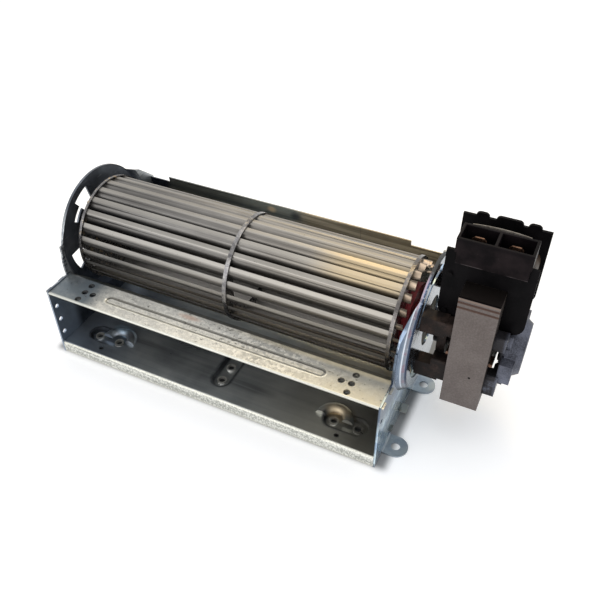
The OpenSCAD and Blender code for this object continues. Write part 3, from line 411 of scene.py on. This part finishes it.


# Tongue plate: zinc-coated sheet with a fine spangle, a long pressed bead and two groups of
# small holes, folded over at the front. Painted shade lies along the bead's rear wall and round
# the holes, and a painted highlight along the bead's front wall.
TONGUE_MIDDLE = 0.5  # offset of the bead and the holes along X
BEAD_ROW = -29.7  # in Y
BEAD_HALF = 61.2  # half the length between its round ends
BEAD_WALL = (1.8, 2.6)  # distances from the bead's middle line
BEAD_LIGHT = (2.2, 3.2)
HOLE_ROW = -30.3  # in Y
SMALL_HOLES = ((77.4, 5.8), (77.4, 0), (77.4, -5.8), (72.2, 0))  # from the middle and the row
FOLD_FRONT = (outlet_front + 1.4, outlet_front + 0.6)
tongue_top = side_of("tongue_plate", "Z", max)
BELOW_SHEET = (tongue_top - 0.7, tongue_top - 1.3)
CLEAN_STRETCH = (-58, 5)  # in X
TO_DULL_END = (30, 85)
TO_BLUE_END = (-60, -76)
BACK_EDGE = (-24.5, -21.8)  # in Y
RED_PATCH = ((-15, -23.5), (9, 2.5))  # centre and half size, in X and Y
DOTTED_PATCH = ((8, -27), (26, 7))
SPANGLE = ((0.34, (0.27, 0.27, 0.255)), (0.5, (0.43, 0.425, 0.395)), (0.66, (0.64, 0.62, 0.565)))
CLEAN_ZINC = ((0.5, 0.5, 0.46), (0.94, 0.92, 0.86))
DULL_ZINC = (0.3, 0.29, 0.25)
BLUE_END = (0.13, 0.155, 0.175)
RED_SPOT = (0.66, 0.42, 0.31)
YELLOW_EDGE = (0.72, 0.63, 0.42)
BEAD_SHADE = (0.1, 0.095, 0.08)
BEAD_HIGHLIGHT = (0.8, 0.79, 0.7)
HOLE_SHADE = (0.02, 0.019, 0.017)
DOT = (0.06, 0.056, 0.046)
BARE_FOLD = (0.6, 0.6, 0.54)
BELOW_SHADE = (0.09, 0.095, 0.09)

zinc = Finish("zinc_sheet", metallic=0.75)
x, y, z = zinc.spot()
spangle = zinc.cells(1.5)
patch = zinc.noise(17, 4)
grain = zinc.noise(0.7, 2)
mark = zinc.noise(1.6, 2, scale=(0.6, 1, 1))
zinc.ground(patch * 0.36 + spangle * 0.28 + grain * 0.36, *SPANGLE)
zinc.stain(x.band(*CLEAN_STRETCH, 25) * 0.5, zinc.mix(grain, *CLEAN_ZINC))
zinc.stain(x.rise(*TO_DULL_END) * 0.75, DULL_ZINC)
zinc.stain(x.rise(*TO_BLUE_END) * (0.5 + patch * 0.9), BLUE_END)
zinc.stain(oval(x, y, *RED_PATCH) * 0.5, RED_SPOT)
zinc.stain(y.rise(*BACK_EDGE) * x.rise(-10, 70) * 0.55, YELLOW_EDGE)
from_bead = reach_slot(x - TONGUE_MIDDLE, y - BEAD_ROW, BEAD_HALF)
rear = (y - BEAD_ROW).rise(-0.6, 0.6)
# Painted shade along the bead's rear wall, and a painted highlight along its front wall.
zinc.stain(from_bead.band(*BEAD_WALL, 0.5) * (rear * 0.75 + 0.1), BEAD_SHADE)
zinc.stain(from_bead.band(*BEAD_LIGHT, 0.5) * (1 - rear) * 0.6, BEAD_HIGHLIGHT)
for side in (-1, 1):
    for along, across in SMALL_HOLES:
        # Painted shade round each small hole, which makes the hole look wider.
        hole_shade = reach(x - TONGUE_MIDDLE - side * along, y - HOLE_ROW - across).rise(1.9, 1.6)
        zinc.stain(hole_shade * 0.9, HOLE_SHADE)
dots = mark.rise(0.68, 0.72)
more_dots = oval(x, y, *DOTTED_PATCH, 1.3, 0.4) * mark.rise(0.6, 0.65)
zinc.stain((dots | more_dots) * 0.7, DOT)
zinc.stain(y.rise(*FOLD_FRONT) * 0.7, BARE_FOLD)
zinc.stain(z.rise(*BELOW_SHEET) * 0.75, BELOW_SHADE)
zinc.surface(roughness=patch * 0.16 + spangle * 0.08 + 0.3)
zinc.relief(from_bead.rise(1.4, 3.0) * 2 + spangle * 0.05 + grain * 0.16 - more_dots * 0.2, 0.25)
dress(zinc, "tongue_plate")


# Left side plate: pressed from zinc-plated sheet, with a drawn cup, windows and ears. It has
# dulled to dark navy, is paler beside the outlet, and is worn bare along its rim.
NAVY = ((0.35, (0.028, 0.034, 0.048)), (0.65, (0.11, 0.125, 0.155)))
OUTLET_SIDE = ((0.2, 0.25, 0.33), (0.5, 0.58, 0.68))
BARE_RIM = (0.44, 0.465, 0.475)
CUP_GREY = (0.2, 0.22, 0.24)
SCRATCH = (0.3, 0.31, 0.32)
TO_OUTLET = (-20, -26)  # in Y
BELOW_TONGUE = (46, 42)  # in Z
OUT_TO_RIM = (34.8, 37)  # radii about the drum's axis
PAST_INNER_FACE = (-95.2, -95.9)  # in X

navy = Finish("navy_sheet", metallic=0.8)
x, y, z = navy.spot()
cloud = navy.noise(14, 4)
scratch = navy.noise(1.2, 3, scale=(1, 0.15, 1))
navy.ground(cloud, *NAVY)
beside_outlet = y.rise(*TO_OUTLET) * z.rise(*BELOW_TONGUE)
navy.stain(beside_outlet * 0.85, navy.mix(cloud, *OUTLET_SIDE))
radius = reach(y - AXIS[0], z - AXIS[1])
worn = radius.rise(*OUT_TO_RIM) * (cloud * 0.6 + scratch * 0.4).rise(0.4, 0.55) * z.rise(30, 48)
navy.stain(worn * 0.9, BARE_RIM)
navy.stain(x.rise(*PAST_INNER_FACE) * z.rise(30, 45) * 0.35, CUP_GREY)
navy.stain(scratch.rise(0.66, 0.72) * 0.5, SCRATCH)
navy.surface(roughness=cloud * 0.25 + 0.24)
navy.relief(cloud + scratch * 0.1, 0.25)
dress(navy, "left_side_plate")


# Right side plate: pressed like the left one, and its cup's shoulder stands round the drum's
# end. It is bright and bluish; painted reflections lie in bands on the shoulder among purple
# tarnish blotches, and painted shade darkens the plate's inner face.
CUP_MOUTH = (33.3, 33.8)  # radii between which the shoulder begins
SHOULDER = {
    # stations in X of painted reflection bands and tarnish, from the plate's plane to the cup's bottom
    "foot": (97.1, 96.2),
    "shine": (97.4, 97.7),
    "grey": (98.2, 98.8),
    "blotches": (98.0, 99.0),
    "end": (99.0, 99.4),
}
DOWN_THE_PLATE = (36, 24)  # in Z
DOWN_TO_EARS = (3.5, 2)
TO_FAR_SIDE = (4, 12)  # in Y
BLUED = ((0.35, (0.17, 0.23, 0.32)), (0.65, (0.36, 0.44, 0.54)))
FOOT_REFLECTION_BLUE = (0.12, 0.16, 0.23)
SHOULDER_REFLECTION_BLUE = (0.1, 0.125, 0.165)
SHOULDER_HIGHLIGHT = (0.75, 0.79, 0.85)
SHOULDER_REFLECTION_GREY = (0.24, 0.24, 0.27)
PURPLE = (0.26, 0.14, 0.19)
SHOULDER_DARK_REFLECTION = (0.025, 0.036, 0.07)
LIGHT_BLUE = ((0.8, 0.95, 1.0), (0.4, 0.54, 0.7))
TAB_SHADE = (0.1, 0.14, 0.2)
CUP_BOTTOM = (0.1, 0.13, 0.16)
SOOT = (0.03, 0.034, 0.034)
PALE_FOOT = (0.66, 0.62, 0.52)
EAR_GREY = (0.3, 0.325, 0.35)
RUBBED = (0.55, 0.6, 0.66)
INSIDE_SHADE = (0.03, 0.033, 0.035)
PLATED = 0.95

blued = Finish("blued_sheet", metallic=PLATED)
x, y, z = blued.spot()
cloud = blued.noise(12, 3)
tarnish = blued.noise(6, 3)
rub = blued.noise(1.1, 3, scale=(1, 1, 0.2))
blued.ground(cloud, *BLUED)
radius = reach(y - AXIS[0], z - AXIS[1])
shoulder = radius.rise(*CUP_MOUTH) * z.rise(20, 28)
# The shoulder is painted in bands that stand for reflections: dark blues, a bright highlight line, grey
# and a near-black band towards the cup's bottom. The purple blotches are tarnish.
blued.stain(shoulder * x.rise(*SHOULDER["foot"]) * 0.6, FOOT_REFLECTION_BLUE)
blued.stain(shoulder * 0.45, SHOULDER_REFLECTION_BLUE)
blued.stain(shoulder * x.band(*SHOULDER["shine"], 0.25) * 0.8, SHOULDER_HIGHLIGHT)
blued.stain(shoulder * x.band(*SHOULDER["grey"], 0.3) * 0.8, SHOULDER_REFLECTION_GREY)
blotch = tarnish.rise(0.5, 0.6) * x.band(*SHOULDER["blotches"], 0.3)
blued.stain(shoulder * blotch * 0.5, PURPLE)
blued.stain(shoulder * x.rise(*SHOULDER["end"]) * 0.92, SHOULDER_DARK_REFLECTION)
low_part = z.rise(*DOWN_THE_PLATE)
blued.stain(low_part * 0.85, blued.mix(tarnish.rise(0.42, 0.6), *LIGHT_BLUE))
lock_tab = low_part * x.rise(97, 98.5) * z.rise(4, 6)
blued.stain(lock_tab * 0.85, TAB_SHADE)
cup_bottom = radius.rise(33.6, 33.0) * x.rise(98, 98.6)
blued.stain(cup_bottom * 0.6, CUP_BOTTOM)
far_side = shoulder * y.rise(*TO_FAR_SIDE)
blued.stain(far_side * 0.93, SOOT)
blued.stain(far_side * x.rise(96.3, 95.9), PALE_FOOT)
ears = z.rise(*DOWN_TO_EARS)
blued.stain(ears * 0.8, EAR_GREY)
blued.stain(rub.rise(0.6, 0.7) * 0.4, RUBBED)
inside = x.rise(95.4, 94.9) * (y.rise(-22, -12) * 0.8 | 0.45)
blued.stain(inside, INSIDE_SHADE)
blued.surface(metallic=PLATED - far_side * 0.75)
blued.surface(roughness=cloud * 0.14 + far_side * 0.45 + ears * 0.3 + 0.12)
blued.relief(cloud + rub * 0.08, 0.3)
dress(blued, "right_side_plate")


# Blades: twenty-four strips of thin aluminium, rolled hollow, dull and grey-brown from long
# use. They are pushed through the discs, and their ends stand out as tabs. The ring is set
# out anew from one packed blade, with each blade sitting a little loose in its slots.
BLADES = 24
PLAY = 0.5  # degrees to either side
PLAY_SEED = 5
FIRST_SLOT = 11.0  # degrees from +Y, where the outer edge of the first blade would be unbent
PACKED_SLOT = 7.7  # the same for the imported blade
ONWARD = math.radians(FIRST_SLOT - PACKED_SLOT)
MERGED_WITHIN = 2e-6  # metres
SMOOTH_BELOW = 35  # degrees of bend
packed_blades = [name for name in nodes if name.startswith("blade_")]


def about_axis(name):
    """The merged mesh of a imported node, moved so that the drum's axis is its X axis."""
    shape = bmesh.new()
    shape.from_mesh(nodes[name].data)
    bmesh.ops.remove_doubles(shape, verts=shape.verts, dist=MERGED_WITHIN)
    bmesh.ops.translate(shape, verts=shape.verts, vec=[-place for place in HINGE])
    return shape


def made_mesh(shape, name):
    """A mesh from that shape, smooth where it bends by less than the stated angle."""
    for face in shape.faces:
        face.smooth = True
    mesh = bpy.data.meshes.new(name)
    shape.to_mesh(mesh)
    shape.free()
    mesh.set_sharp_from_angle(angle=math.radians(SMOOTH_BELOW))
    return mesh


def blade_ring():
    """Geometry Nodes: one blade set round the axis, Count times, each turned by its play."""
    ring = Graph(bpy.data.node_groups.new("blade_ring", "GeometryNodeTree"))
    kinds = {"Blade": "Geometry", "Count": "Int", "Play": "Float", "Seed": "Int", "Axis": "Vector"}
    for name, kind in {**kinds, "Finish": "Material"}.items():
        ring.tree.interface.new_socket(name, in_out="INPUT", socket_type="NodeSocket" + kind)
    ring.tree.interface.new_socket("Ring", in_out="OUTPUT", socket_type="NodeSocketGeometry")
    given = {name: ring.node("NodeGroupInput", output=name) for name in [*kinds, "Finish"]}
    place = {"Count": given["Count"], "Start Location": given["Axis"], "Offset": (0, 0, 0)}
    points = ring.node("GeometryNodeMeshLine", {}, place)
    index = ring.node("GeometryNodeInputIndex")
    # sockets 2 and 3 and output 1 are those for a number with decimals
    play = {2: given["Play"] * -1, 3: given["Play"], "Seed": given["Seed"]}
    loose = ring.node("FunctionNodeRandomValue", {"data_type": "FLOAT"}, play, output=1)
    turn = index * math.tau / given["Count"] + loose * math.radians(1)
    angles = ring.node("CombineXYZ", {}, {"X": turn})
    set_out = {"Points": points, "Instance": given["Blade"], "Rotation": angles}
    blades = ring.node("GeometryNodeInstanceOnPoints", {}, set_out)
    whole = ring.node("GeometryNodeRealizeInstances", {}, {"Geometry": blades})
    dressed = ring.node("GeometryNodeSetMaterial", {}, {"Geometry": whole, "Material": given["Finish"]})
    result = ring.tree.nodes.new("NodeGroupOutput")
    ring.feed(result.inputs["Ring"], dressed)
    return ring.tree


INNER_EDGE = (28.0, 25.2)  # radii about the drum's axis
OUTER_EDGE = (29.0, 29.15)
disc_face = side_of("right_disc", "X", max)
TABS = (disc_face + 0.2, disc_face + 0.5)  # in X, where the ends stand out of the right disc
TO_LEFT_GREY = (10, -50)  # in X
TO_RIGHT_BROWN = (-10, 60)
DOWN_TO_PALE_ROWS = (50, 36)  # in Z
STRIP = ((0.36, (0.13, 0.122, 0.113)), (0.5, (0.18, 0.17, 0.158)), (0.66, (0.24, 0.23, 0.215)))
LEFT_GREY = (0.1, 0.1, 0.1)
RIGHT_BROWN = (0.245, 0.22, 0.185)
INNER_SHADE = ((0.055, 0.046, 0.04), (0.03, 0.035, 0.048))
EDGE_HIGHLIGHT = (0.5, 0.475, 0.43)
GLEAM = (0.56, 0.42, 0.22)
PALE_LOW_ROWS = (0.4, 0.38, 0.35)
SPECK = (0.1, 0.088, 0.07)
TAB_TAN = (0.46, 0.36, 0.27)

strip = Finish("blade_strip", metallic=0.82)
x, y, z = strip.spot()
radius = reach(y - AXIS[0], z - AXIS[1])
rolled = strip.noise(0.9, 3, scale=(0.012, 1, 1))
haze = strip.noise(18, 3, scale=(0.5, 1, 1))
strip.ground(rolled * 0.4 + haze * 0.6, *STRIP)
strip.stain(x.rise(*TO_LEFT_GREY) * 0.35, LEFT_GREY)
strip.stain(x.rise(*TO_RIGHT_BROWN) * 0.6, RIGHT_BROWN)
# Painted shade on the hollow inner side of each blade; towards the left end it turns bluish, a painted
# reflection of the navy side plate.
inner_shade = strip.mix(x.rise(-10, -80), *INNER_SHADE)
strip.stain(radius.rise(*INNER_EDGE) * 0.75, inner_shade)
# A painted highlight along the blades' outer edges.
edge = radius.rise(*OUTER_EDGE)
strip.stain(edge * 0.3, EDGE_HIGHLIGHT)
lit_from_behind = x.band(62, 80, 26) * y.band(3, 13, 5) * z.rise(70, 76)
strip.stain(lit_from_behind * 0.5, GLEAM)
# Painted light on the lower blades: they are paler towards the bottom of the drum, and more so at their
# outer edges.
dust_and_painted_light = z.rise(*DOWN_TO_PALE_ROWS)
strip.stain(dust_and_painted_light * (0.55 + edge * 0.4), PALE_LOW_ROWS)
speck = strip.noise(1.5, 2).rise(0.7, 0.75)
strip.stain(speck * 0.5, SPECK)
strip.stain(x.rise(*TABS), TAB_TAN)
strip.surface(roughness=rolled * 0.12 + haze * 0.1 + 0.32)
strip.relief(rolled, 0.03)

shape = about_axis("blade_1")
bmesh.ops.rotate(shape, verts=shape.verts, matrix=Matrix.Rotation(ONWARD, 3, "X"))
blades = bpy.data.objects.new("blade_ring", made_mesh(shape, "blade_ring"))
bpy.context.collection.objects.link(blades)
setting_out = blades.modifiers.new("setting_out", "NODES")
setting_out.node_group = blade_ring()
given = {"Count": BLADES, "Play": PLAY, "Seed": PLAY_SEED, "Axis": HINGE, "Finish": strip.material}
for item in setting_out.node_group.interface.items_tree:
    if item.name in given:
        setting_out[item.identifier] = given[item.name]
evaluated = blades.evaluated_get(bpy.context.evaluated_depsgraph_get())
ring_mesh = bpy.data.meshes.new_from_object(evaluated)
blades.modifiers.clear()
blades.data = ring_mesh
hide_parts(*packed_blades)
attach(blades, "impeller")


# Discs: three punched steel sheets with rolled rims, which show as grey rings round the drum.
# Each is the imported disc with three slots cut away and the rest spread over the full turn.
ON_THE_CUT = 1e-7  # metres within which a corner counts as being on the cut
CUT_SLACK = 1e-5  # radians by which rounding may put such a corner before the cut
SEAM_CLOSED_WITHIN = 3e-6  # metres


def respaced(name, finish):
    """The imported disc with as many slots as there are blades; it stands for the node."""
    shape = about_axis(name)
    start = math.radians(PACKED_SLOT + 180)
    gone = math.tau * (len(packed_blades) - BLADES) / len(packed_blades)
    for angle in (start, start + gone):
        across = (0, -math.sin(angle), math.cos(angle))
        everything = shape.verts[:] + shape.edges[:] + shape.faces[:]
        cut = {"geom": everything, "dist": ON_THE_CUT, "plane_co": (0, 0, 0), "plane_no": across}
        bmesh.ops.bisect_plane(shape, **cut)
    wedge = []
    for face in shape.faces:
        middle = face.calc_center_median()
        if (math.atan2(middle.z, middle.y) - start) % math.tau < gone:
            wedge.append(face)
    bmesh.ops.delete(shape, geom=wedge, context="FACES")
    for vert in shape.verts:
        radius = math.hypot(vert.co.y, vert.co.z)
        turn = math.atan2(vert.co.z, vert.co.y) - start - gone
        past = (turn + CUT_SLACK) % math.tau - CUT_SLACK
        angle = start + past * len(packed_blades) / BLADES + ONWARD
        vert.co.y = radius * math.cos(angle) + HINGE[1]
        vert.co.z = radius * math.sin(angle) + HINGE[2]
    bmesh.ops.remove_doubles(shape, verts=shape.verts, dist=SEAM_CLOSED_WITHIN)
    piece = bpy.data.objects.new(name + "_even", made_mesh(shape, name + "_even"))
    piece.data.materials.append(finish.material)
    bpy.context.collection.objects.link(piece)
    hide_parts(name)
    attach(piece, "impeller")


DISC_GREY = ((0.36, (0.125, 0.12, 0.125)), (0.5, (0.185, 0.18, 0.18)), (0.64, (0.3, 0.285, 0.27)))
GOLD_GLINT = (0.62, 0.46, 0.26)
RIGHT_DISC_BROWN = (0.085, 0.072, 0.062)

ringed = Finish("disc_sheet", metallic=0.88)
x = ringed.spot()[0]
wear = ringed.noise(2.6, 3)
turned = ringed.noise(0.5, 2)
ringed.ground(wear * 0.75 + turned * 0.25, *DISC_GREY)
# Painted gold glints in patches on the two end discs.
gold_glint = wear.rise(0.58, 0.66) * (x.rise(-60, -80) | x.rise(60, 80) * 0.7)
ringed.stain(gold_glint * 0.6, GOLD_GLINT)
ringed.stain(x.rise(80, 86) * 0.55, RIGHT_DISC_BROWN)
ringed.surface(roughness=wear * 0.2 + 0.18)
ringed.relief(wear + turned * 0.2, 0.2)
for name in ("left_disc", "middle_disc", "right_disc"):
    respaced(name, ringed)


# Rubber: the hub that joins the right disc to the motor's shaft is moulded in dark red rubber,
# the grommet round the left bearing in black. Both are pushed into their holes and dusty.
RED_RUBBER = ((0.4, (0.13, 0.004, 0.008)), (0.7, (0.24, 0.02, 0.024)))
BLACK_RUBBER = ((0.4, (0.012, 0.012, 0.012)), (0.75, (0.05, 0.047, 0.043)))

hub_rubber = Finish("red_rubber", specular=0.3)
dust = hub_rubber.noise(3, 4)
hub_rubber.ground(dust, *RED_RUBBER)
hub_rubber.surface(roughness=dust * 0.3 + 0.35)
hub_rubber.relief(dust, 0.08)
dress(hub_rubber, "rubber_hub")

grommet_rubber = Finish("black_rubber", specular=0.3)
dust = grommet_rubber.noise(2.5, 4)
grommet_rubber.ground(dust, *BLACK_RUBBER)
grommet_rubber.surface(roughness=dust * 0.25 + 0.5)
grommet_rubber.relief(dust, 0.08)
dress(grommet_rubber, "rubber_grommet")


# Bearings and left bush: bronze powder, pressed and sintered, then soaked with oil. It is
# porous and dark. They sit in the brackets' sockets and in the grommet.
BRONZE = ((0.4, (0.12, 0.08, 0.04)), (0.65, (0.36, 0.26, 0.14)))

sintered = Finish("sintered_bronze", metallic=0.7)
pores = sintered.noise(0.5, 3)
sintered.ground(pores, *BRONZE)
sintered.surface(roughness=pores * 0.3 + 0.35)
sintered.relief(pores, 0.05)
dress(sintered, "left_bush", "inner_bearing", "outer_bearing")


# Shafts, screws and spring discs: drawn and turned steel, with fine lines and a light stain.
# The spring discs hold the bearings, and the screws hold the motor together and to its plate.
STEEL = ((0.38, (0.2, 0.2, 0.2)), (0.62, (0.46, 0.455, 0.44)))

steel = Finish("turned_steel", metallic=1.0)
lines = steel.noise(0.3, 2, scale=(1, 0.3, 0.3))
cloud = steel.noise(4, 4)
steel.ground(lines * 0.5 + cloud * 0.5, *STEEL)
steel.surface(roughness=lines * 0.15 + cloud * 0.15 + 0.16)
steel.relief(lines, 0.03)
dress(steel, "stub_shaft", "motor_shaft", "bracket_screws", "mounting_screws")
dress(steel, "inner_retainer", "outer_retainer")


# Rotor: a stack of thin sheets with cast end rings, turned to size. Washers of fibre keep it
# in place between the two bearings.
SHEET_STACK = ((0.35, (0.12, 0.115, 0.11)), (0.65, (0.32, 0.31, 0.29)))
FIBRE = ((0.35, (0.3, 0.25, 0.16)), (0.7, (0.5, 0.44, 0.3)))

turned_rotor = Finish("rotor_body", metallic=0.9)
sheets = turned_rotor.noise(0.4, 2, scale=(1, 0.02, 0.02))
turned_rotor.ground(sheets, *SHEET_STACK)
turned_rotor.surface(roughness=sheets * 0.2 + 0.25)
turned_rotor.relief(sheets, 0.05)
dress(turned_rotor, "rotor")

fibre = Finish("fibre_washer", specular=0.3)
fuzz = fibre.noise(0.8, 4)
fibre.ground(fuzz, *FIBRE)
fibre.surface(roughness=fuzz * 0.2 + 0.6)
fibre.relief(fuzz, 0.05)
dress(fibre, "shaft_washers")


# Stator core: a stack of steel sheets, riveted, ground and varnished grey-brown. Its edges
# are slightly broken, two rusty grooves run across the legs just below their tops, and a band
# just below the top edge is paler. The tops and all but the front face are darkened as painted
# shade.
BROKEN_FROM = 40  # degrees between two faces
BROKEN_IN = 2  # steps


def softened(name, width_mm, finish):
    """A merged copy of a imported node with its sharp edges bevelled; it stands for the node."""
    shape = bmesh.new()
    shape.from_mesh(nodes[name].data)
    bmesh.ops.remove_doubles(shape, verts=shape.verts, dist=MERGED_WITHIN)
    bmesh.ops.dissolve_limit(shape, angle_limit=math.radians(1), verts=shape.verts, edges=shape.edges)
    mesh = bpy.data.meshes.new(name + "_soft")
    shape.to_mesh(mesh)
    shape.free()
    mesh.materials.append(finish.material)
    piece = bpy.data.objects.new(name + "_soft", mesh)
    bpy.context.collection.objects.link(piece)
    bevel = piece.modifiers.new("broken_edges", "BEVEL")
    bevel.width = width_mm / MM
    bevel.segments = BROKEN_IN
    bevel.limit_method = "ANGLE"
    bevel.angle_limit = math.radians(BROKEN_FROM)
    bevel.use_clamp_overlap = True
    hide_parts(name)
    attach(piece, "housing")


core_top = side_of("stator_core", "Z", max)
core_front = side_of("stator_core", "Y", min)
GROOVES = ((core_top - 3.1, core_top - 2.1), (core_top - 5.9, core_top - 4.9))
RIM = (core_top - 1.1, core_top - 0.4)
TOP = (core_top - 0.25, core_top - 0.05)
BEHIND_FRONT = (core_front + 0.3, core_front + 1.4)
FRONT = (core_front + 0.6, core_front + 0.2)
FRONT_DOT = (127, 49)  # in X and Z
VARNISH = ((0.35, (0.12, 0.1, 0.092)), (0.5, (0.15, 0.128, 0.119)), (0.65, (0.19, 0.165, 0.153)))
RUST = (0.07, 0.032, 0.02)
PALE_TOP_BAND = (0.26, 0.19, 0.15)
TOP_SHADE = (0.004, 0.003, 0.0035)
SIDE_SHADE = (0.028, 0.023, 0.021)
DOT_BLACK = (0.01, 0.009, 0.008)

varnished = Finish("varnished_stack", metallic=0.35)
x, y, z = varnished.spot()
mottle = varnished.noise(0.8, 4)
cloud = varnished.noise(14, 3)
sheets = varnished.noise(0.5, 2, scale=(1, 0.01, 0.01))
varnished.ground(mottle * 0.5 + cloud * 0.42 + sheets * 0.08, *VARNISH)
varnished.stain(strongest([z.band(*groove, 0.25) for groove in GROOVES]) * 0.75, RUST)
varnished.stain(z.band(*RIM, 0.3) * 0.6, PALE_TOP_BAND)
# Painted shade: the tops are nearly black and a little more metallic.
shaded_top = z.rise(*TOP)
varnished.stain(shaded_top, TOP_SHADE)
# Painted shade on every face behind the front one.
varnished.stain(y.rise(*BEHIND_FRONT) * 0.85, SIDE_SHADE)
dot = reach(x - FRONT_DOT[0], z - FRONT_DOT[1]).rise(0.75, 0.45) * y.rise(*FRONT)
varnished.stain(dot, DOT_BLACK)
varnished.surface(metallic=shaded_top * 0.6 + 0.35, specular=0.12)
varnished.surface(roughness=mottle * 0.2 + 0.42)
varnished.relief(mottle * 0.5 + sheets * 0.1, 0.05)
softened("stator_core", 0.35, varnished)
softened("core_bar", 0.2, varnished)


# Shading rings: loops of copper bar, closed round a part of each pole and tarnished brown.
# The two spade terminals, which are stamped and pushed into their sockets, look the same.
COPPER = ((0.36, (0.055, 0.029, 0.019)), (0.6, (0.16, 0.092, 0.064)), (0.8, (0.3, 0.185, 0.13)))

tarnished = Finish("tarnished_copper", metallic=0.9)
bloom = tarnished.noise(1.8, 4)
tarnished.ground(bloom, *COPPER)
tarnished.surface(roughness=bloom * 0.3 + 0.3)
tarnished.relief(bloom, 0.05)
dress(tarnished, "shading_rings", "terminal_left", "terminal_right")


# Bobbin: black glass-filled plastic, moulded in one piece with its two flanges and slid over
# the core's bar. It is a little dusty and chipped.
BLACK_PLASTIC = ((0.35, (0.003, 0.0028, 0.0032)), (0.65, (0.007, 0.0062, 0.0068)))
CHIP_GREY = (0.05, 0.042, 0.04)

moulded = Finish("black_plastic", specular=0.04)
flow = moulded.noise(9, 4)
dust = moulded.noise(0.9, 3)
moulded.ground(flow, *BLACK_PLASTIC)
moulded.stain(dust.rise(0.68, 0.76) * 0.35, CHIP_GREY)
moulded.surface(roughness=flow * 0.25 + 0.3)
moulded.relief(flow * 0.6 + dust * 0.1, 0.08)
softened("coil_bobbin", 0.3, moulded)


# Winding: fine wire on the bobbin's tube, under dark varnished tape that is wound round and
# round with overlapping edges.
LAPS_IN_Y = 0.16  # of the tape, per millimetre
LAPS_IN_Z = 0.03
TAPE = ((0.35, (0.02, 0.012, 0.008)), (0.65, (0.07, 0.045, 0.028)))
LAP_SHADE = (0.006, 0.005, 0.004)

taped = Finish("winding_tape", specular=0.3)
_, y, z = taped.spot()
weave = taped.noise(0.35, 2)
soak = taped.noise(5, 4)
laps = (y * LAPS_IN_Y + z * LAPS_IN_Z).fract()
lap_edge = abs(laps - 0.5).rise(0.4, 0.5)
taped.ground(soak, *TAPE)
taped.stain(lap_edge * 0.5, LAP_SHADE)
taped.surface(roughness=soak * 0.3 + 0.35)
taped.relief(weave * 0.3 + lap_edge, 0.1)
dress(taped, "coil_winding")


# Card behind the terminals: thin pressed fibre, bent to a curve and slid into its slot. It
# is pale, with brownish clouds.
CARD = ((0.38, (0.15, 0.128, 0.105)), (0.62, (0.32, 0.29, 0.25)))

card = Finish("pressed_card", roughness=0.8, specular=0.2)
fuzz = card.noise(1.2, 4)
cloud = card.noise(8, 3)
card.ground(fuzz * 0.5 + cloud * 0.5, *CARD)
card.relief(fuzz, 0.08)
dress(card, "insulation_card")


# Terminal housing: brown-black nylon, moulded smoother than the bobbin and set on its front
# flange. Its front wall is dusty low down on the right and rubbed along the lower edge.
housing_front = side_of("terminal_housing", "Y", min)
FRONT_WALL = (housing_front + 1.4, housing_front + 0.4)
UPPER_WALL = (103, 113.5)  # in Z
LOWER_EDGE = (102.9, 103.3)
NYLON = ((0.35, (0.0045, 0.0034, 0.004)), (0.65, (0.009, 0.0066, 0.0075)))
VEIL_BROWN = (0.024, 0.017, 0.018)
LOWER_DUST = (0.085, 0.068, 0.063)
EDGE_GREY = (0.11, 0.095, 0.095)
GRAIN_OF_DUST = (0.1, 0.085, 0.08)

nylon = Finish("housing_plastic", specular=0.045)
x, y, z = nylon.spot()
dust = nylon.noise(1.4, 4)
veil = nylon.noise(8, 3)
front = y.rise(*FRONT_WALL)
nylon.ground(veil, *NYLON)
nylon.stain(front * z.band(*UPPER_WALL, 1.5) * veil.rise(0.3, 0.7) * 0.5, VEIL_BROWN)
dust_and_painted_light = front * z.rise(104, 100) * x.rise(118, 128) * dust.rise(0.45, 0.66)
nylon.stain(dust_and_painted_light * 0.6, LOWER_DUST)
rubbed = front * z.band(*LOWER_EDGE, 0.25) * veil.rise(0.42, 0.56)
nylon.stain(rubbed * 0.7, EDGE_GREY)
nylon.stain(dust.rise(0.7, 0.78) * 0.4, GRAIN_OF_DUST)
nylon.surface(roughness=veil * 0.3 + 0.25)
nylon.relief(veil * 0.6 + dust * 0.2, 0.12)
softened("terminal_housing", 0.25, nylon)


# Brackets: die-cast zinc alloy, held to the core by the long screws. The inner one is nearly
# black with darker clouds, the outer one is blue-grey where it is clean and carries painted
# shade in the corners next to the core.
NEAR_CORE = (139.2, 137.4)  # in X
ABOVE_SHAFT = (48, 58)  # in Z
DARK_ALLOY = ((0.35, (0.01, 0.0075, 0.007)), (0.65, (0.055, 0.038, 0.032)))
CLEAN_ALLOY = ((0.35, (0.035, 0.037, 0.046)), (0.65, (0.17, 0.18, 0.225)))
DIRT_AND_SHADE = (0.02, 0.017, 0.016)


def casting(name, alloy):
    """A die-cast skin with fine pits, and the clouds that the metal's flow has left in it."""
    cast = Finish(name, metallic=0.55, specular=0.15)
    pits = cast.noise(0.6, 3)
    flow = cast.noise(9, 4)
    cast.ground(flow * 0.6 + pits * 0.4, *alloy)
    cast.surface(roughness=pits * 0.25 + flow * 0.15 + 0.28)
    cast.relief(pits * 0.4 + flow * 0.6, 0.16)
    return cast, flow


dark_cast, flow = casting("oily_casting", DARK_ALLOY)
dark_cast.stain(flow.rise(0.58, 0.44) * 0.8, DIRT_AND_SHADE)
softened("inner_bracket", 0.35, dark_cast)

clean, flow = casting("clean_casting", CLEAN_ALLOY)
x, y, z = clean.spot()
# Painted shade near the core, above the shaft and on the back half, with clouds of dirt.
shaded_corners = x.rise(*NEAR_CORE) * (z.rise(*ABOVE_SHAFT) | flow.rise(0.6, 0.45) | y.rise(-3.8, -2.5))
clean.stain(shaded_corners * 0.85, DIRT_AND_SHADE)
softened("outer_bracket", 0.35, clean)
